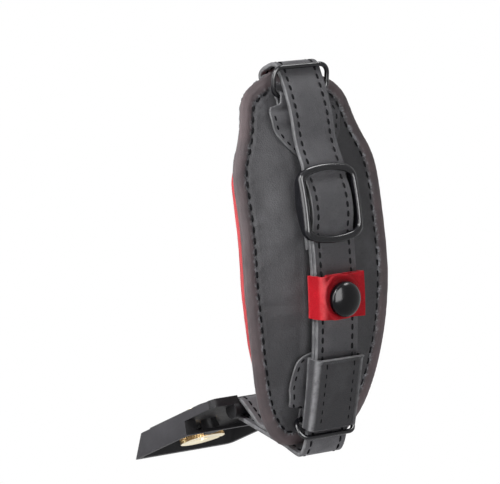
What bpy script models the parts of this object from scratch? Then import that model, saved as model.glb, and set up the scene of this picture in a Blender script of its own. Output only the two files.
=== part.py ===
"""Camera hand grip strap with a padded hand rest and a screw-on base plate.

The origin lies on top of the base plate's rubber sheet, where the camera sits.
+X points to the camera's front, +Y from the hand to the camera, +Z is up.
The strap keeps the bend that it has over the back of a hand: one arc about an
axis along X. Places on it are given as a radius and an angle on that arc, and
the angle grows from the top of the strap downwards.
"""

import math

import bmesh
import bpy
from mathutils import Matrix, Vector

# Clearance between pieces that touch
GAP = 0.0003

# Bend of the strap
BEND_Y = 0.1221
BEND_Z = 0.108
PAD_CROWN_RADIUS = 0.229

# Pad
PAD_END_ANGLE = 38.0320
PAD_LENGTH = 0.160
PAD_SHAPE = ((0.0, 0.0090), (0.0017, 0.0125), (0.0055, 0.0208), (0.0085, 0.0245), (0.013, 0.0275),
             (0.023, 0.0302), (0.030, 0.0330), (0.036, 0.0357), (0.045, 0.0374), (0.065, 0.0375),
             (0.088, 0.0378), (0.100, 0.0370), (0.113, 0.0355), (0.127, 0.0331), (0.138, 0.0303),
             (0.147, 0.0268), (0.154, 0.0222), (0.1585, 0.0172), (0.160, 0.0130))
PAD_HALF_WIDTH = 0.0378
PAD_CROWN = 0.0035
PAD_SIDE_SAG = 0.0025
PAD_TOP_LIFT = 0.0015
PAD_TOP_LIFT_LENGTH = 0.035
PAD_BOTTOM_DROP = 0.0011
PAD_BOTTOM_DROP_LENGTH = 0.060
PAD_BORDER = 0.006
PAD_TOP_TAPER = 0.028
PAD_BOTTOM_TAPER = 0.046
PAD_SIDE_TAPER = 0.018
PAD_END_ROWS = (0.0, 0.0017, 0.0055, 0.0085, 0.013, 0.018, 0.024)
PAD_MIDDLE_ROWS = 10
COVER_THICKNESS = 0.0012
LINING_THICKNESS = 0.003
FOAM_SIDE_INSET = 0.0135
FOAM_TOP_INSET = 0.018
FOAM_BOTTOM_INSET = 0.030
FOAM_GAP = 0.0008

# Belts
BELT_WIDTH = 0.0215
BELT_THICKNESS = 0.0018
BELT_EDGE = 0.0004
TAIL_END_ANGLE = 33.2
RETURN_LENGTH_ANGLE = 4.4
FOOT_ANGLE = 36.2
LUG_EYE_RADIUS = 0.0033
LUG_FOLD_LENGTH = 0.006
LUG_STRAND_LEAN = 22.0
LUG_STRAND_START = 0.0065
LUG_EYE_DISTANCE = 0.0105
LUG_TURN = ((0.0006, 0.0020), (0.0030, 0.0032), (0.0065, 0.0034), (0.0100, 0.0032), (0.0124, 0.0018),
            (0.0130, -0.0025))

# Wire rings and their leather tabs
RING_WIRE = 0.0020
RING_EXTRA_WIDTH = 0.0083
RING_CORNER = 0.004
TAB_THICKNESS = 0.0010
TAB_RETURN_LENGTH = 0.009
TOP_RING_INSET_ANGLE = 2.95
TOP_RING_RADIUS = 0.2299
TOP_RING_LEAN_ANGLE = 2.55
TOP_RING_FRONT_DROP = 0.001
TOP_TAB_LENGTH = 0.0306
TOP_TAB_SHAPE = ((0.0103, -0.009), (0.0103, 0.0024), (0.0160, 0.0034), (0.0176, 0.0070), (0.0178, 0.0110),
                 (0.0166, 0.0156), (0.0146, 0.0191), (0.0110, 0.0231), (0.0080, 0.0258), (0.0040, 0.0288),
                 (0.0, 0.0306))
BOTTOM_RING_ANGLE = 34.8
BOTTOM_RING_RADIUS = 0.2273
BOTTOM_RING_FRONT_ANGLE = 36.15
BOTTOM_TAB_LENGTH = 0.029
BOTTOM_TAB_SHAPE = ((0.0103, -0.009), (0.0103, 0.0045), (0.0165, 0.0060), (0.0177, 0.0090), (0.0178, 0.0170),
                    (0.0168, 0.0235), (0.0150, 0.0265), (0.0115, 0.0284), (0.0060, 0.029), (0.0, 0.029))

# Slide buckle
BUCKLE_BELOW_RING = 11.55
BUCKLE_EXTRA_WIDTH = 0.0085
BUCKLE_LENGTH = 0.0325
BUCKLE_BOW = 0.0022
BUCKLE_CORNER = 0.004
BUCKLE_SIDE_WALL = 0.0028
BUCKLE_END_BAR = 0.0028
BUCKLE_END_HEIGHT = 0.0016
BUCKLE_MIDDLE_RISE = 0.0010
BUCKLE_BAR_WIDTH = 0.005
BUCKLE_BAR_THICKNESS = 0.0015

# Leather keeper with its snap
KEEPER_BELOW_MIDDLE = 1.45
KEEPER_HEIGHT = 0.0180
KEEPER_EXTRA_WIDTH = 0.0028
KEEPER_CORNER = 0.0024
LEATHER = 0.0011
FLAP_RISE = 0.0021
FLAP_UNDERLAP = 0.007
FLAP_END_INSET = 0.002
SNAP_X = -0.0015
SNAP_BELOW_MIDDLE = 0.25
SNAP_CAP_RADIUS = 0.0073
SNAP_CAP_RIM = 0.0016
SNAP_CAP_DOME = 0.0032
SNAP_SHANK_RADIUS = 0.0018
SNAP_FLANGE_RADIUS = 0.0045
SNAP_FLANGE = 0.0005
SNAP_KNOB_RADIUS = 0.0028
SNAP_KNOB_BULGE = 0.0002
SNAP_SOCKET_RADIUS = 0.0055
SNAP_SHEET = 0.0006

# Sleeve for the belt's tail
SLEEVE_START_ANGLE = 27.9
SLEEVE_END_ANGLE = 35.3
SLEEVE_PLAY = 0.0005
SLEEVE_CORNER = 0.0018

# Base plate
PLATE_WIDTH = 0.050
PLATE_HEIGHT = 0.0097
PLATE_TOP_START = -0.029
PLATE_TOP_END = 0.029
PLATE_FLARE = 0.0065
PLATE_SIDE_DRAFT = 0.0015
PLATE_CORNER = 0.003
PLATE_WALL = 0.0022
PLATE_WEB = 0.003
PLATE_LIP_END = -0.007
PLATE_LIP = 0.0036
PLATE_RIM = 0.0014
STRAP_BAR_Y = -0.0265
STRAP_BAR_Z = -0.0068
STRAP_BAR_RADIUS = 0.0026
STRAP_EAR_RADIUS = 0.0036
STRAP_EAR_THICKNESS = 0.003
STRAP_SLOT_PLAY = 0.0009
STRAND_SLOPE = 36.5
STRAND_LENGTH = 0.0355
STRAND_FOLD_LENGTH = 0.024

# Rubber sheet on the plate
SHEET_THICKNESS = 0.001
SHEET_MARGIN = 0.004

# Captive tripod screw
SCREW_Y = 0.0185
SCREW_SHANK_RADIUS = 0.003175
SCREW_REACH = 0.0048
SCREW_HEAD_RADIUS = 0.0098
SCREW_HEAD_HEIGHT = 0.0028
SCREW_SOCKET_RADIUS = 0.00255
SCREW_SOCKET_DEPTH = 0.0045
COIN_SLOT_WIDTH = 0.0016
COIN_SLOT_DEPTH = 0.0012
WASHER_RADIUS = 0.007
WASHER_THICKNESS = 0.0006
CLIP_RADIUS = 0.0052
CLIP_THICKNESS = 0.0007
CLIP_GROOVE = 0.0006
CLIP_POCKET = 0.0012
BOSS_RADIUS = 0.0085
POST_RADIUS = 0.0035
POST_Y = 0.0015
POST_X = -0.007

# Values that follow from the sizes above
PAD_START_ANGLE = PAD_END_ANGLE - math.degrees(PAD_LENGTH / PAD_CROWN_RADIUS)
TOP_RING_ANGLE = PAD_START_ANGLE + TOP_RING_INSET_ANGLE
TOP_RING_FRONT_ANGLE = TOP_RING_ANGLE - TOP_RING_LEAN_ANGLE
BUCKLE_ANGLE = TOP_RING_ANGLE + BUCKLE_BELOW_RING
RETURN_END_ANGLE = BUCKLE_ANGLE + RETURN_LENGTH_ANGLE
RING_WIDTH = BELT_WIDTH + RING_EXTRA_WIDTH
BUCKLE_WIDTH = BELT_WIDTH + BUCKLE_EXTRA_WIDTH
KEEPER_WIDTH = BELT_WIDTH + KEEPER_EXTRA_WIDTH
KEEPER_ANGLE = (BUCKLE_ANGLE + SLEEVE_START_ANGLE) / 2 + KEEPER_BELOW_MIDDLE
SNAP_ANGLE = KEEPER_ANGLE + SNAP_BELOW_MIDDLE
RETURN_RADIUS = PAD_CROWN_RADIUS + GAP + BELT_THICKNESS / 2
BUCKLE_BAR_RADIUS = RETURN_RADIUS + BELT_THICKNESS / 2 + GAP + BUCKLE_BAR_THICKNESS / 2
OVER_BAR_RADIUS = BUCKLE_BAR_RADIUS + BUCKLE_BAR_THICKNESS / 2 + GAP + BELT_THICKNESS / 2
INNER_BELT_RADIUS = RETURN_RADIUS + BELT_THICKNESS + GAP
OUTER_BELT_RADIUS = INNER_BELT_RADIUS + BELT_THICKNESS + GAP
OUTER_OVER_BAR_RADIUS = OVER_BAR_RADIUS + BELT_THICKNESS + GAP
FRONT_BELT_RADIUS = OUTER_BELT_RADIUS - TOP_RING_FRONT_DROP
STACK_TOP = OUTER_BELT_RADIUS + BELT_THICKNESS / 2
STACK_BOTTOM = INNER_BELT_RADIUS - BELT_THICKNESS / 2
PAD_BASE_RADIUS = PAD_CROWN_RADIUS - PAD_CROWN
TAB_LOOP_RADIUS = RING_WIRE / 2 + GAP + TAB_THICKNESS / 2
PLATE_TOP = -SHEET_THICKNESS - GAP
PLATE_BOTTOM = PLATE_TOP - PLATE_HEIGHT
WEB_BOTTOM = PLATE_TOP - PLATE_WEB
BAR_LOOP_RADIUS = STRAP_BAR_RADIUS + GAP + BELT_THICKNESS / 2

MODEL = bpy.data.collections.new("camera_hand_grip_strap")
CUTTERS = bpy.data.collections.new("cutters")


def clear_scene():
    for item in list(bpy.data.objects):
        bpy.data.objects.remove(item, do_unlink=True)
    bpy.context.scene.collection.children.link(MODEL)
    bpy.context.scene.collection.children.link(CUTTERS)


def material(name, colour, roughness, metallic=0.0):
    made = bpy.data.materials.new(name)
    made.use_nodes = True
    shader = made.node_tree.nodes["Principled BSDF"]
    shader.inputs["Base Color"].default_value = (*colour, 1.0)
    shader.inputs["Roughness"].default_value = roughness
    shader.inputs["Metallic"].default_value = metallic
    return made


def polar(radius, degrees, x=0.0):
    """A point of the bend: radius from its axis, angle down from its top."""
    angle = math.radians(degrees)
    return Vector((x, BEND_Y - radius * math.cos(angle), BEND_Z - radius * math.sin(angle)))


def angle_of(length, radius=PAD_CROWN_RADIUS):
    """The angle in degrees of an arc length on the bend."""
    return math.degrees(length / radius)


def new_object(name, mesh, finish, collection=MODEL):
    made = bpy.data.objects.new(name, mesh)
    if finish:
        mesh.materials.append(finish)
    collection.objects.link(made)
    return made


def object_from_bmesh(name, shape, finish, collection=MODEL):
    mesh = bpy.data.meshes.new(name)
    bmesh.ops.recalc_face_normals(shape, faces=shape.faces)
    shape.to_mesh(mesh)
    shape.free()
    return new_object(name, mesh, finish, collection)


def smooth_shading(made, degrees=40.0):
    made.data.shade_smooth()
    made.data.set_sharp_from_angle(angle=math.radians(degrees))


def add_solidify(made, thickness):
    wall = made.modifiers.new("Thickness", "SOLIDIFY")
    wall.thickness = thickness
    wall.offset = 0.0
    wall.use_even_offset = True


def add_bevel(made, width, segments=1, degrees=60.0):
    edge = made.modifiers.new("Edge", "BEVEL")
    edge.width = width
    edge.segments = segments
    edge.limit_method = "ANGLE"
    edge.angle_limit = math.radians(degrees)


def add_boolean(made, cutter, operation):
    cut = made.modifiers.new(operation.title(), "BOOLEAN")
    cut.operation = operation
    cut.solver = "EXACT"
    cut.object = cutter
    cutter.hide_render = True
    cutter.display_type = "WIRE"


def smooth_path(knots, steps):
    """Points of a Catmull-Rom curve through the knots."""
    points = []
    ends = [2 * knots[0] - knots[1], *knots, 2 * knots[-1] - knots[-2]]
    for index in range(1, len(ends) - 2):
        before, start, end, after = ends[index - 1:index + 3]
        for step in range(steps):
            t = step / steps
            points.append(0.5 * (2 * start + (end - before) * t
                                 + (2 * before - 5 * start + 4 * end - after) * t ** 2
                                 + (3 * start - before - 3 * end + after) * t ** 3))
    points.append(knots[-1].copy())
    return points


def arc_points(centre, radius, start, end, count):
    """Points in the YZ plane round a centre, angles from +Y towards +Z."""
    points = []
    for index in range(count + 1):
        angle = math.radians(start + (end - start) * index / count)
        points.append(centre + radius * Vector((0, math.cos(angle), math.sin(angle))))
    return points


def ribbon(name, path, width, thickness, finish, collection=MODEL):
    """A strip of leather: a path in the YZ plane, widened along X."""
    shape = bmesh.new()
    left = [shape.verts.new(point + Vector((-width / 2, 0, 0))) for point in path]
    edges = [shape.edges.new(pair) for pair in zip(left, left[1:])]
    made = bmesh.ops.extrude_edge_only(shape, edges=edges)
    moved = [item for item in made["geom"] if isinstance(item, bmesh.types.BMVert)]
    bmesh.ops.translate(shape, verts=moved, vec=(width, 0, 0))
    strip = object_from_bmesh(name, shape, finish, collection)
    add_solidify(strip, thickness)
    return strip


def band(name, outline, closed, start, end, steps, thickness, finish):
    """A leather band: an outline of (x, radius) points swept along the bend."""
    shape = bmesh.new()
    ring = [shape.verts.new(polar(radius, start, x)) for x, radius in outline]
    pairs = list(zip(ring, ring[1:]))
    if closed:
        pairs.append((ring[-1], ring[0]))
    edges = [shape.edges.new(pair) for pair in pairs]
    bmesh.ops.spin(shape, geom=ring + edges, cent=(0, BEND_Y, BEND_Z), axis=(1, 0, 0),
                   angle=math.radians(end - start), steps=steps, use_duplicate=False)
    made = object_from_bmesh(name, shape, finish)
    add_solidify(made, thickness)
    return made


def rounded_corners(corners, radius, steps=4):
    """Replaces each inner corner of an open 2D path by an arc."""
    points = [corners[0]]
    for before, corner, after in zip(corners, corners[1:], corners[2:]):
        into = (Vector(before) - Vector(corner)).normalized()
        out = (Vector(after) - Vector(corner)).normalized()
        for step in range(steps + 1):
            t = step / steps
            point = Vector(corner) + radius * ((1 - t) ** 2 * into + t ** 2 * out)
            points.append(tuple(point))
    points.append(corners[-1])
    return points


def turned(name, profile, steps, finish, collection=MODEL):
    """A turned piece: a closed profile of (radius, height) about local Z."""
    mesh = bpy.data.meshes.new(name)
    count = len(profile)
    mesh.from_pydata([(radius, 0, height) for radius, height in profile],
                     [(index, (index + 1) % count) for index in range(count)], [])
    made = new_object(name, mesh, finish, collection)
    screw = made.modifiers.new("Turn", "SCREW")
    screw.axis = "Z"
    screw.steps = steps
    screw.render_steps = steps
    screw.use_merge_vertices = True
    screw.merge_threshold = 0.00001
    return made


def box(name, low, high, finish=None, collection=CUTTERS):
    shape = bmesh.new()
    bmesh.ops.create_cube(shape, size=1.0)
    low = Vector(low)
    high = Vector(high)
    bmesh.ops.scale(shape, verts=shape.verts, vec=high - low)
    bmesh.ops.translate(shape, verts=shape.verts, vec=(low + high) / 2)
    return object_from_bmesh(name, shape, finish, collection)


def rod(name, radius, length, place, axis, finish=None, collection=CUTTERS, segments=32):
    shape = bmesh.new()
    bmesh.ops.create_cone(shape, cap_ends=True, segments=segments, radius1=radius, radius2=radius,
                          depth=length)
    turn = Vector((0, 0, 1)).rotation_difference(Vector(axis)).to_matrix().to_4x4()
    bmesh.ops.transform(shape, matrix=Matrix.Translation(place) @ turn, verts=shape.verts)
    return object_from_bmesh(name, shape, finish, collection)


def flat_outline(name, outline, depth, frame, finish=None, collection=CUTTERS):
    """A flat 2D outline, extruded by half its depth each way, as a mesh."""
    curve = bpy.data.curves.new(name, "CURVE")
    curve.dimensions = "2D"
    curve.fill_mode = "BOTH"
    curve.extrude = depth / 2
    spline = curve.splines.new("POLY")
    spline.points.add(len(outline) - 1)
    for point, (across, along) in zip(spline.points, outline):
        point.co = (across, along, 0, 1)
    spline.use_cyclic_u = True
    drawn = bpy.data.objects.new(name, curve)
    collection.objects.link(drawn)
    drawn.matrix_world = frame
    bpy.context.view_layer.update()
    mesh = bpy.data.meshes.new_from_object(drawn.evaluated_get(bpy.context.evaluated_depsgraph_get()))
    bpy.data.objects.remove(drawn)
    bpy.data.curves.remove(curve)
    shape = bmesh.new()
    shape.from_mesh(mesh)
    bpy.data.meshes.remove(mesh)
    bmesh.ops.remove_doubles(shape, verts=shape.verts, dist=0.000001)
    bmesh.ops.transform(shape, matrix=frame, verts=shape.verts)
    return object_from_bmesh(name, shape, finish, collection)


def frame_at(radius, degrees):
    """A local frame on the bend: X across, Y down the strap, Z outwards."""
    angle = math.radians(degrees)
    across = Vector((-1, 0, 0))
    down = Vector((0, math.sin(angle), -math.cos(angle)))
    out = Vector((0, -math.cos(angle), -math.sin(angle)))
    turn = Matrix((across, down, out)).transposed().to_4x4()
    return Matrix.Translation(polar(radius, degrees)) @ turn


def ease(value):
    value = min(max(value, 0.0), 1.0)
    return value * value * (3.0 - 2.0 * value)


def pad_half_width(along):
    """Half the pad's width at a length from its top end."""
    along *= PAD_SHAPE[-1][0] / PAD_LENGTH
    for (start, narrow), (end, wide) in zip(PAD_SHAPE, PAD_SHAPE[1:]):
        if along <= end:
            return narrow + (wide - narrow) * (along - start) / (end - start)
    return PAD_SHAPE[-1][1]


def pad_crown(along, across):
    """Height of the cover over the pad's base at one place."""
    from_end = min((along - PAD_BORDER) / PAD_TOP_TAPER,
                   (PAD_LENGTH - along - PAD_BORDER) / PAD_BOTTOM_TAPER)
    from_side = (pad_half_width(along) - abs(across) - PAD_BORDER) / PAD_SIDE_TAPER
    if from_end <= 0 or from_side <= 0:
        return 0.0
    return PAD_CROWN * ease((from_end ** -4 + from_side ** -4) ** -0.25)


def pad_radius(along, across):
    """Radius of the cover's outer face at one place."""
    sag = PAD_SIDE_SAG * (across / PAD_HALF_WIDTH) ** 2
    lift = PAD_TOP_LIFT * ease(1 - along / PAD_TOP_LIFT_LENGTH)
    drop = PAD_BOTTOM_DROP * ease(1 - (PAD_LENGTH - along) / PAD_BOTTOM_DROP_LENGTH)
    return PAD_BASE_RADIUS - sag + lift - drop + pad_crown(along, across)


def cover_radius(degrees):
    """Radius of the cover's outer face on the pad's middle line."""
    along = math.radians(degrees - PAD_START_ANGLE) * PAD_CROWN_RADIUS
    return pad_radius(along, 0.0)


def pad_rows(top_inset, bottom_inset):
    """Lengths of the rows of the pad's grid, closer at the rounded ends."""
    last = PAD_END_ROWS[-1]
    middle = [last + (PAD_LENGTH - 2 * last) * step / PAD_MIDDLE_ROWS for step in range(1, PAD_MIDDLE_ROWS)]
    rows = [*PAD_END_ROWS, *middle, *(PAD_LENGTH - row for row in reversed(PAD_END_ROWS))]
    scale = 1 - (top_inset + bottom_inset) / PAD_LENGTH
    return [top_inset + row * scale for row in rows]


def pad_layer(name, insets, outer, inner, columns, finish):
    """One layer of the pad: two mapped grids joined round their edge."""
    side_inset, top_inset, bottom_inset = insets
    rows = pad_rows(top_inset, bottom_inset)
    shape = bmesh.new()
    loops = []
    for face_radius in (outer, inner):
        grid = bmesh.ops.create_grid(shape, x_segments=columns, y_segments=len(rows) - 1, size=0.5)
        verts = grid["verts"]
        for vert in verts:
            row = rows[round((vert.co.y + 0.5) * (len(rows) - 1))]
            half = pad_half_width(row) - side_inset
            across = vert.co.x * 2 * half
            vert.co = polar(face_radius(row, across), PAD_START_ANGLE + angle_of(row), across)
        chosen = set(verts)
        loops += [edge for edge in shape.edges
                  if edge.is_boundary and edge.verts[0] in chosen]
    bmesh.ops.bridge_loops(shape, edges=loops)
    made = object_from_bmesh(name, shape, finish)
    smooth_shading(made)
    return made


def make_pad(black, foam, red):
    whole = (0.0, 0.0, 0.0)
    pad_layer("pad_cover", whole, pad_radius,
              lambda row, across: pad_radius(row, across) - COVER_THICKNESS, 16, black)

    def lining_top(row, across):
        return pad_radius(row, across) - pad_crown(row, across) - COVER_THICKNESS - GAP

    pad_layer("pad_lining", whole, lining_top,
              lambda row, across: lining_top(row, across) - LINING_THICKNESS, 16, red)
    pad_layer("pad_foam", (FOAM_SIDE_INSET, FOAM_TOP_INSET, FOAM_BOTTOM_INSET),
              lambda row, across: pad_radius(row, across) - COVER_THICKNESS - FOAM_GAP,
              lambda row, across: lining_top(row, across) + GAP, 12, foam)


def worn_arc(radius, start, end, step=2.0):
    count = max(1, round(abs(end - start) / step))
    return [polar(radius, start + (end - start) * index / count) for index in range(count + 1)]


def make_adjusting_belt(leather):
    """From the folded eye for the camera's lug to the tail in the sleeve."""
    half_bar = angle_of(BUCKLE_LENGTH / 2)
    top_bar = BUCKLE_ANGLE - half_bar
    low_bar = BUCKLE_ANGLE + half_bar
    on_tab = PAD_CROWN_RADIUS + TAB_THICKNESS + 2 * GAP + BELT_THICKNESS / 2
    over_ring = TOP_RING_RADIUS + TAB_LOOP_RADIUS + TAB_THICKNESS / 2 + GAP + BELT_THICKNESS / 2
    tail = worn_arc(OUTER_BELT_RADIUS, TAIL_END_ANGLE, low_bar)
    knots = [polar(OUTER_BELT_RADIUS, low_bar),
             polar(OUTER_BELT_RADIUS, low_bar - half_bar * 0.33),
             polar(OUTER_BELT_RADIUS + 0.0011, low_bar - half_bar * 0.58),
             polar(OUTER_OVER_BAR_RADIUS, BUCKLE_ANGLE + half_bar * 0.2),
             polar(OUTER_OVER_BAR_RADIUS, BUCKLE_ANGLE - half_bar * 0.2),
             polar(OUTER_BELT_RADIUS + 0.0010, top_bar + half_bar * 0.56),
             polar(OUTER_BELT_RADIUS, top_bar + half_bar * 0.33),
             polar(OUTER_BELT_RADIUS, top_bar),
             polar((OUTER_BELT_RADIUS + on_tab) / 2 + 0.0002, top_bar - 1.3),
             polar(on_tab + 0.0004, top_bar - 2.8),
             polar(over_ring - 0.0006, TOP_RING_ANGLE + 2.0),
             polar(over_ring, TOP_RING_ANGLE),
             polar(over_ring + 0.0001, TOP_RING_ANGLE - 1.4),
             polar(FRONT_BELT_RADIUS, TOP_RING_FRONT_ANGLE)]
    front = knots[-1]
    knots += [front + Vector((0, across, up)) for across, up in LUG_TURN]
    lean = math.radians(LUG_STRAND_LEAN)
    along = Vector((0, math.sin(lean), -math.cos(lean)))
    side = Vector((0, math.cos(lean), math.sin(lean)))
    start = knots[-1] + along * LUG_STRAND_START
    knots.append(start)
    fold = BELT_THICKNESS + GAP
    ring = LUG_EYE_RADIUS + BELT_THICKNESS / 2
    centre = start + along * LUG_EYE_DISTANCE + side * fold / 2
    knots += [start + along * 0.003, start + along * 0.0052 - side * 0.0005]
    for degrees in (50, 90, 135, 180, 225, 270, 310):
        angle = math.radians(degrees)
        knots.append(centre - along * ring * math.cos(angle) - side * ring * math.sin(angle))
    back = start + side * fold
    knots += [back + along * 0.0052 + side * 0.0005, back + along * 0.003, back, back - along * LUG_FOLD_LENGTH]
    belt = ribbon("adjusting_belt", tail[:-1] + smooth_path(knots, 3), BELT_WIDTH, BELT_THICKNESS,
                  leather)
    add_bevel(belt, BELT_EDGE)
    return belt


def make_anchor_belt(leather):
    """Folded round the buckle's bar, down to the plate's bar and back."""
    bar_half = angle_of(BUCKLE_BAR_WIDTH / 2, BUCKLE_BAR_RADIUS)
    path = worn_arc(RETURN_RADIUS, RETURN_END_ANGLE, BUCKLE_ANGLE + bar_half)
    turn = BUCKLE_ANGLE - bar_half
    fold = (OVER_BAR_RADIUS - RETURN_RADIUS) / 2
    path += arc_points(polar(BUCKLE_BAR_RADIUS, turn), fold, turn, turn + 180, 6)
    settled = BUCKLE_ANGLE + bar_half + 2.8
    drop = [polar(OVER_BAR_RADIUS, BUCKLE_ANGLE + bar_half),
            polar(OVER_BAR_RADIUS - 0.0007, BUCKLE_ANGLE + bar_half + 0.85),
            polar(INNER_BELT_RADIUS + 0.0002, BUCKLE_ANGLE + bar_half + 1.85),
            polar(INNER_BELT_RADIUS, settled)]
    path += smooth_path(drop, 2)[:-1]
    path += worn_arc(INNER_BELT_RADIUS, settled, FOOT_ANGLE)[:-1]
    slope = math.radians(STRAND_SLOPE)
    up = Vector((0, math.cos(slope), math.sin(slope)))
    over = Vector((0, -math.sin(slope), math.cos(slope)))
    bar = Vector((0, STRAP_BAR_Y, STRAP_BAR_Z))
    touch = bar - over * BAR_LOOP_RADIUS
    turn_end = touch - up * STRAND_LENGTH
    straight = STRAND_LENGTH - 0.003
    foot = polar(INNER_BELT_RADIUS, FOOT_ANGLE)
    corner = [foot, foot + Vector((0, 0.0036, -0.0040)), foot + Vector((0, 0.0076, -0.0060)),
              turn_end + Vector((0, -0.0006, -0.0010)), touch - up * straight]
    path += smooth_path(corner, 4)[:-1]
    path += [touch - up * straight * (1 - step / 4) for step in range(4)]
    last_angle = STRAND_SLOPE + 112
    path += arc_points(bar, BAR_LOOP_RADIUS, STRAND_SLOPE - 90, last_angle, 14)[:-1]
    layer = over * (BELT_THICKNESS + GAP)
    upper = [arc_points(bar, BAR_LOOP_RADIUS, last_angle, last_angle + 1, 1)[0],
             touch - up * 0.0085 + layer + over * 0.0022, touch - up * 0.0135 + layer,
             touch - up * 0.018 + layer, touch - up * STRAND_FOLD_LENGTH + layer]
    path += smooth_path(upper, 3)
    belt = ribbon("anchor_belt", path, BELT_WIDTH, BELT_THICKNESS, leather)
    add_bevel(belt, BELT_EDGE)
    return belt


def ring_wire(name, angle, radius, front, metal):
    """A rectangular wire ring from its bar in the tab to its front bar."""
    back = polar(radius, angle)
    along = (front - back)
    length = along.length
    along.normalize()
    half_width = (RING_WIDTH - RING_WIRE) / 2
    corner = min(RING_CORNER, length * 0.4)
    outline = []
    for sign_x, sign_y, start in ((1, 0, -90), (1, 1, 0), (-1, 1, 90), (-1, 0, 180)):
        centre_x = sign_x * (half_width - corner)
        centre_y = length - corner if sign_y else corner
        for step in range(5):
            turn = math.radians(start + 90 * step / 4)
            outline.append((centre_x + corner * math.cos(turn), centre_y + corner * math.sin(turn)))
    curve = bpy.data.curves.new(name, "CURVE")
    curve.dimensions = "3D"
    curve.bevel_depth = RING_WIRE / 2
    curve.bevel_resolution = 2
    spline = curve.splines.new("POLY")
    spline.points.add(len(outline) - 1)
    for point, (across, up) in zip(spline.points, outline):
        place = along * up + Vector((across, 0, 0))
        point.co = (*place, 1)
    spline.use_cyclic_u = True
    curve.materials.append(metal)
    made = bpy.data.objects.new(name, curve)
    made.location = back
    MODEL.objects.link(made)
    return made


def make_tab(name, ring_angle, ring_radius, length, direction, half_shape, leather):
    """A leather tab folded round a ring's bar and sewn on the pad."""
    bar = polar(ring_radius, ring_angle)
    step_angle = angle_of(1.0) * direction

    def on_cover(distance, layer):
        place = ring_angle + step_angle * distance
        return polar(cover_radius(place) + GAP + TAB_THICKNESS / 2 + layer * (TAB_THICKNESS + GAP), place)

    under = [on_cover(TAB_RETURN_LENGTH, 0), on_cover(0.0065, 0), on_cover(0.004, 0)]
    outwards = polar(ring_radius + 1, ring_angle) - bar
    down = polar(ring_radius, ring_angle + direction) - bar
    down.normalize()
    loop = []
    for degrees in range(-60, -301, -30):
        turn = math.radians(degrees)
        loop.append(bar + TAB_LOOP_RADIUS * (down * math.cos(turn) + outwards * math.sin(turn)))
    upper = [on_cover(0.0055, 1.0), on_cover(0.008, 1.0), on_cover(0.0105, 0.9), on_cover(0.0135, 0.15),
             on_cover(0.016, 0.05)]
    count = round((length - 0.016) / 0.003)
    upper += [on_cover(0.016 + (length - 0.014) * (index + 1) / count, 0.05) for index in range(count)]
    width = 2 * max(across for across, along in half_shape)
    made = ribbon(name, smooth_path(under + loop + upper, 2), width + 0.002, TAB_THICKNESS, leather)
    outline = [*half_shape, *((-across, along) for across, along in reversed(half_shape[:-1]))]
    outline = [(across, along * direction) for across, along in outline]
    if direction < 0:
        outline.reverse()
    shield = flat_outline(name + "_outline", outline, 0.03, frame_at(ring_radius, ring_angle))
    add_boolean(made, shield, "INTERSECT")
    return made


def make_buckle(metal):
    """Barrel-shaped frame with bowed end bars and a middle bar."""
    frame = frame_at(OUTER_BELT_RADIUS, BUCKLE_ANGLE)
    half_length = BUCKLE_LENGTH / 2
    fall = half_length ** 2 / (2 * OUTER_BELT_RADIUS)
    under = BELT_THICKNESS / 2 + GAP - fall + 0.0001
    end_top = under + BUCKLE_END_HEIGHT
    bar_level = BUCKLE_BAR_RADIUS - OUTER_BELT_RADIUS

    def barrel(half_width, half, bow, corner):
        quarter = []
        for step in range(5):
            across = (half_width - corner) * step / 4
            quarter.append((across, half + bow * (1 - (across / half_width) ** 2)))
        for step in range(1, 5):
            turn = math.radians(90 - 90 * step / 4)
            quarter.append((half_width - corner + corner * math.cos(turn),
                            half - corner + corner * math.sin(turn) + bow * 0.2 * math.sin(turn)))
        upper = quarter + [(across, -along) for across, along in reversed(quarter)]
        return upper + [(-across, along) for across, along in reversed(upper) if across > 0.00001]

    outer = barrel(BUCKLE_WIDTH / 2, half_length - BUCKLE_BOW, BUCKLE_BOW, BUCKLE_CORNER)
    inner = barrel(BUCKLE_WIDTH / 2 - BUCKLE_SIDE_WALL, half_length - BUCKLE_BOW - BUCKLE_END_BAR, BUCKLE_BOW,
                   BUCKLE_CORNER - 0.0015)
    lowest_end = under - GAP
    side = [(half_length + 0.001, lowest_end), (half_length + 0.001, end_top)]
    for step in range(13):
        t = 1 - step / 6
        side.append((half_length * t, end_top + BUCKLE_MIDDLE_RISE * (1 - t * t)))
    side += [(-half_length - 0.001, end_top), (-half_length - 0.001, lowest_end)]
    low = bar_level - BUCKLE_BAR_THICKNESS / 2
    for step in range(13):
        t = step / 6 - 1
        side.append((half_length * t, lowest_end + (low - lowest_end) * (1 - t * t)))
    side_frame = frame @ Matrix(((0, 0, 1, 0), (1, 0, 0, 0), (0, 1, 0, 0), (0, 0, 0, 1)))
    made = flat_outline("slide_buckle", side, BUCKLE_WIDTH + 0.002, side_frame, metal, MODEL)
    add_boolean(made, flat_outline("buckle_outline", outer, 0.03, frame), "INTERSECT")
    add_boolean(made, flat_outline("buckle_window", inner, 0.032, frame), "DIFFERENCE")
    half_window = BUCKLE_WIDTH / 2 - BUCKLE_SIDE_WALL
    passage = box("buckle_passage", (-half_window, -half_length - 0.002, -0.02),
                  (half_window, half_length + 0.002, under))
    passage.data.transform(frame)
    add_boolean(made, passage, "DIFFERENCE")
    bar = box("buckle_bar", (-half_window - 0.001, -BUCKLE_BAR_WIDTH / 2, bar_level - BUCKLE_BAR_THICKNESS / 2),
              (half_window + 0.001, BUCKLE_BAR_WIDTH / 2, bar_level + BUCKLE_BAR_THICKNESS / 2))
    bar.data.transform(frame)
    add_boolean(made, bar, "UNION")
    return made


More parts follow.
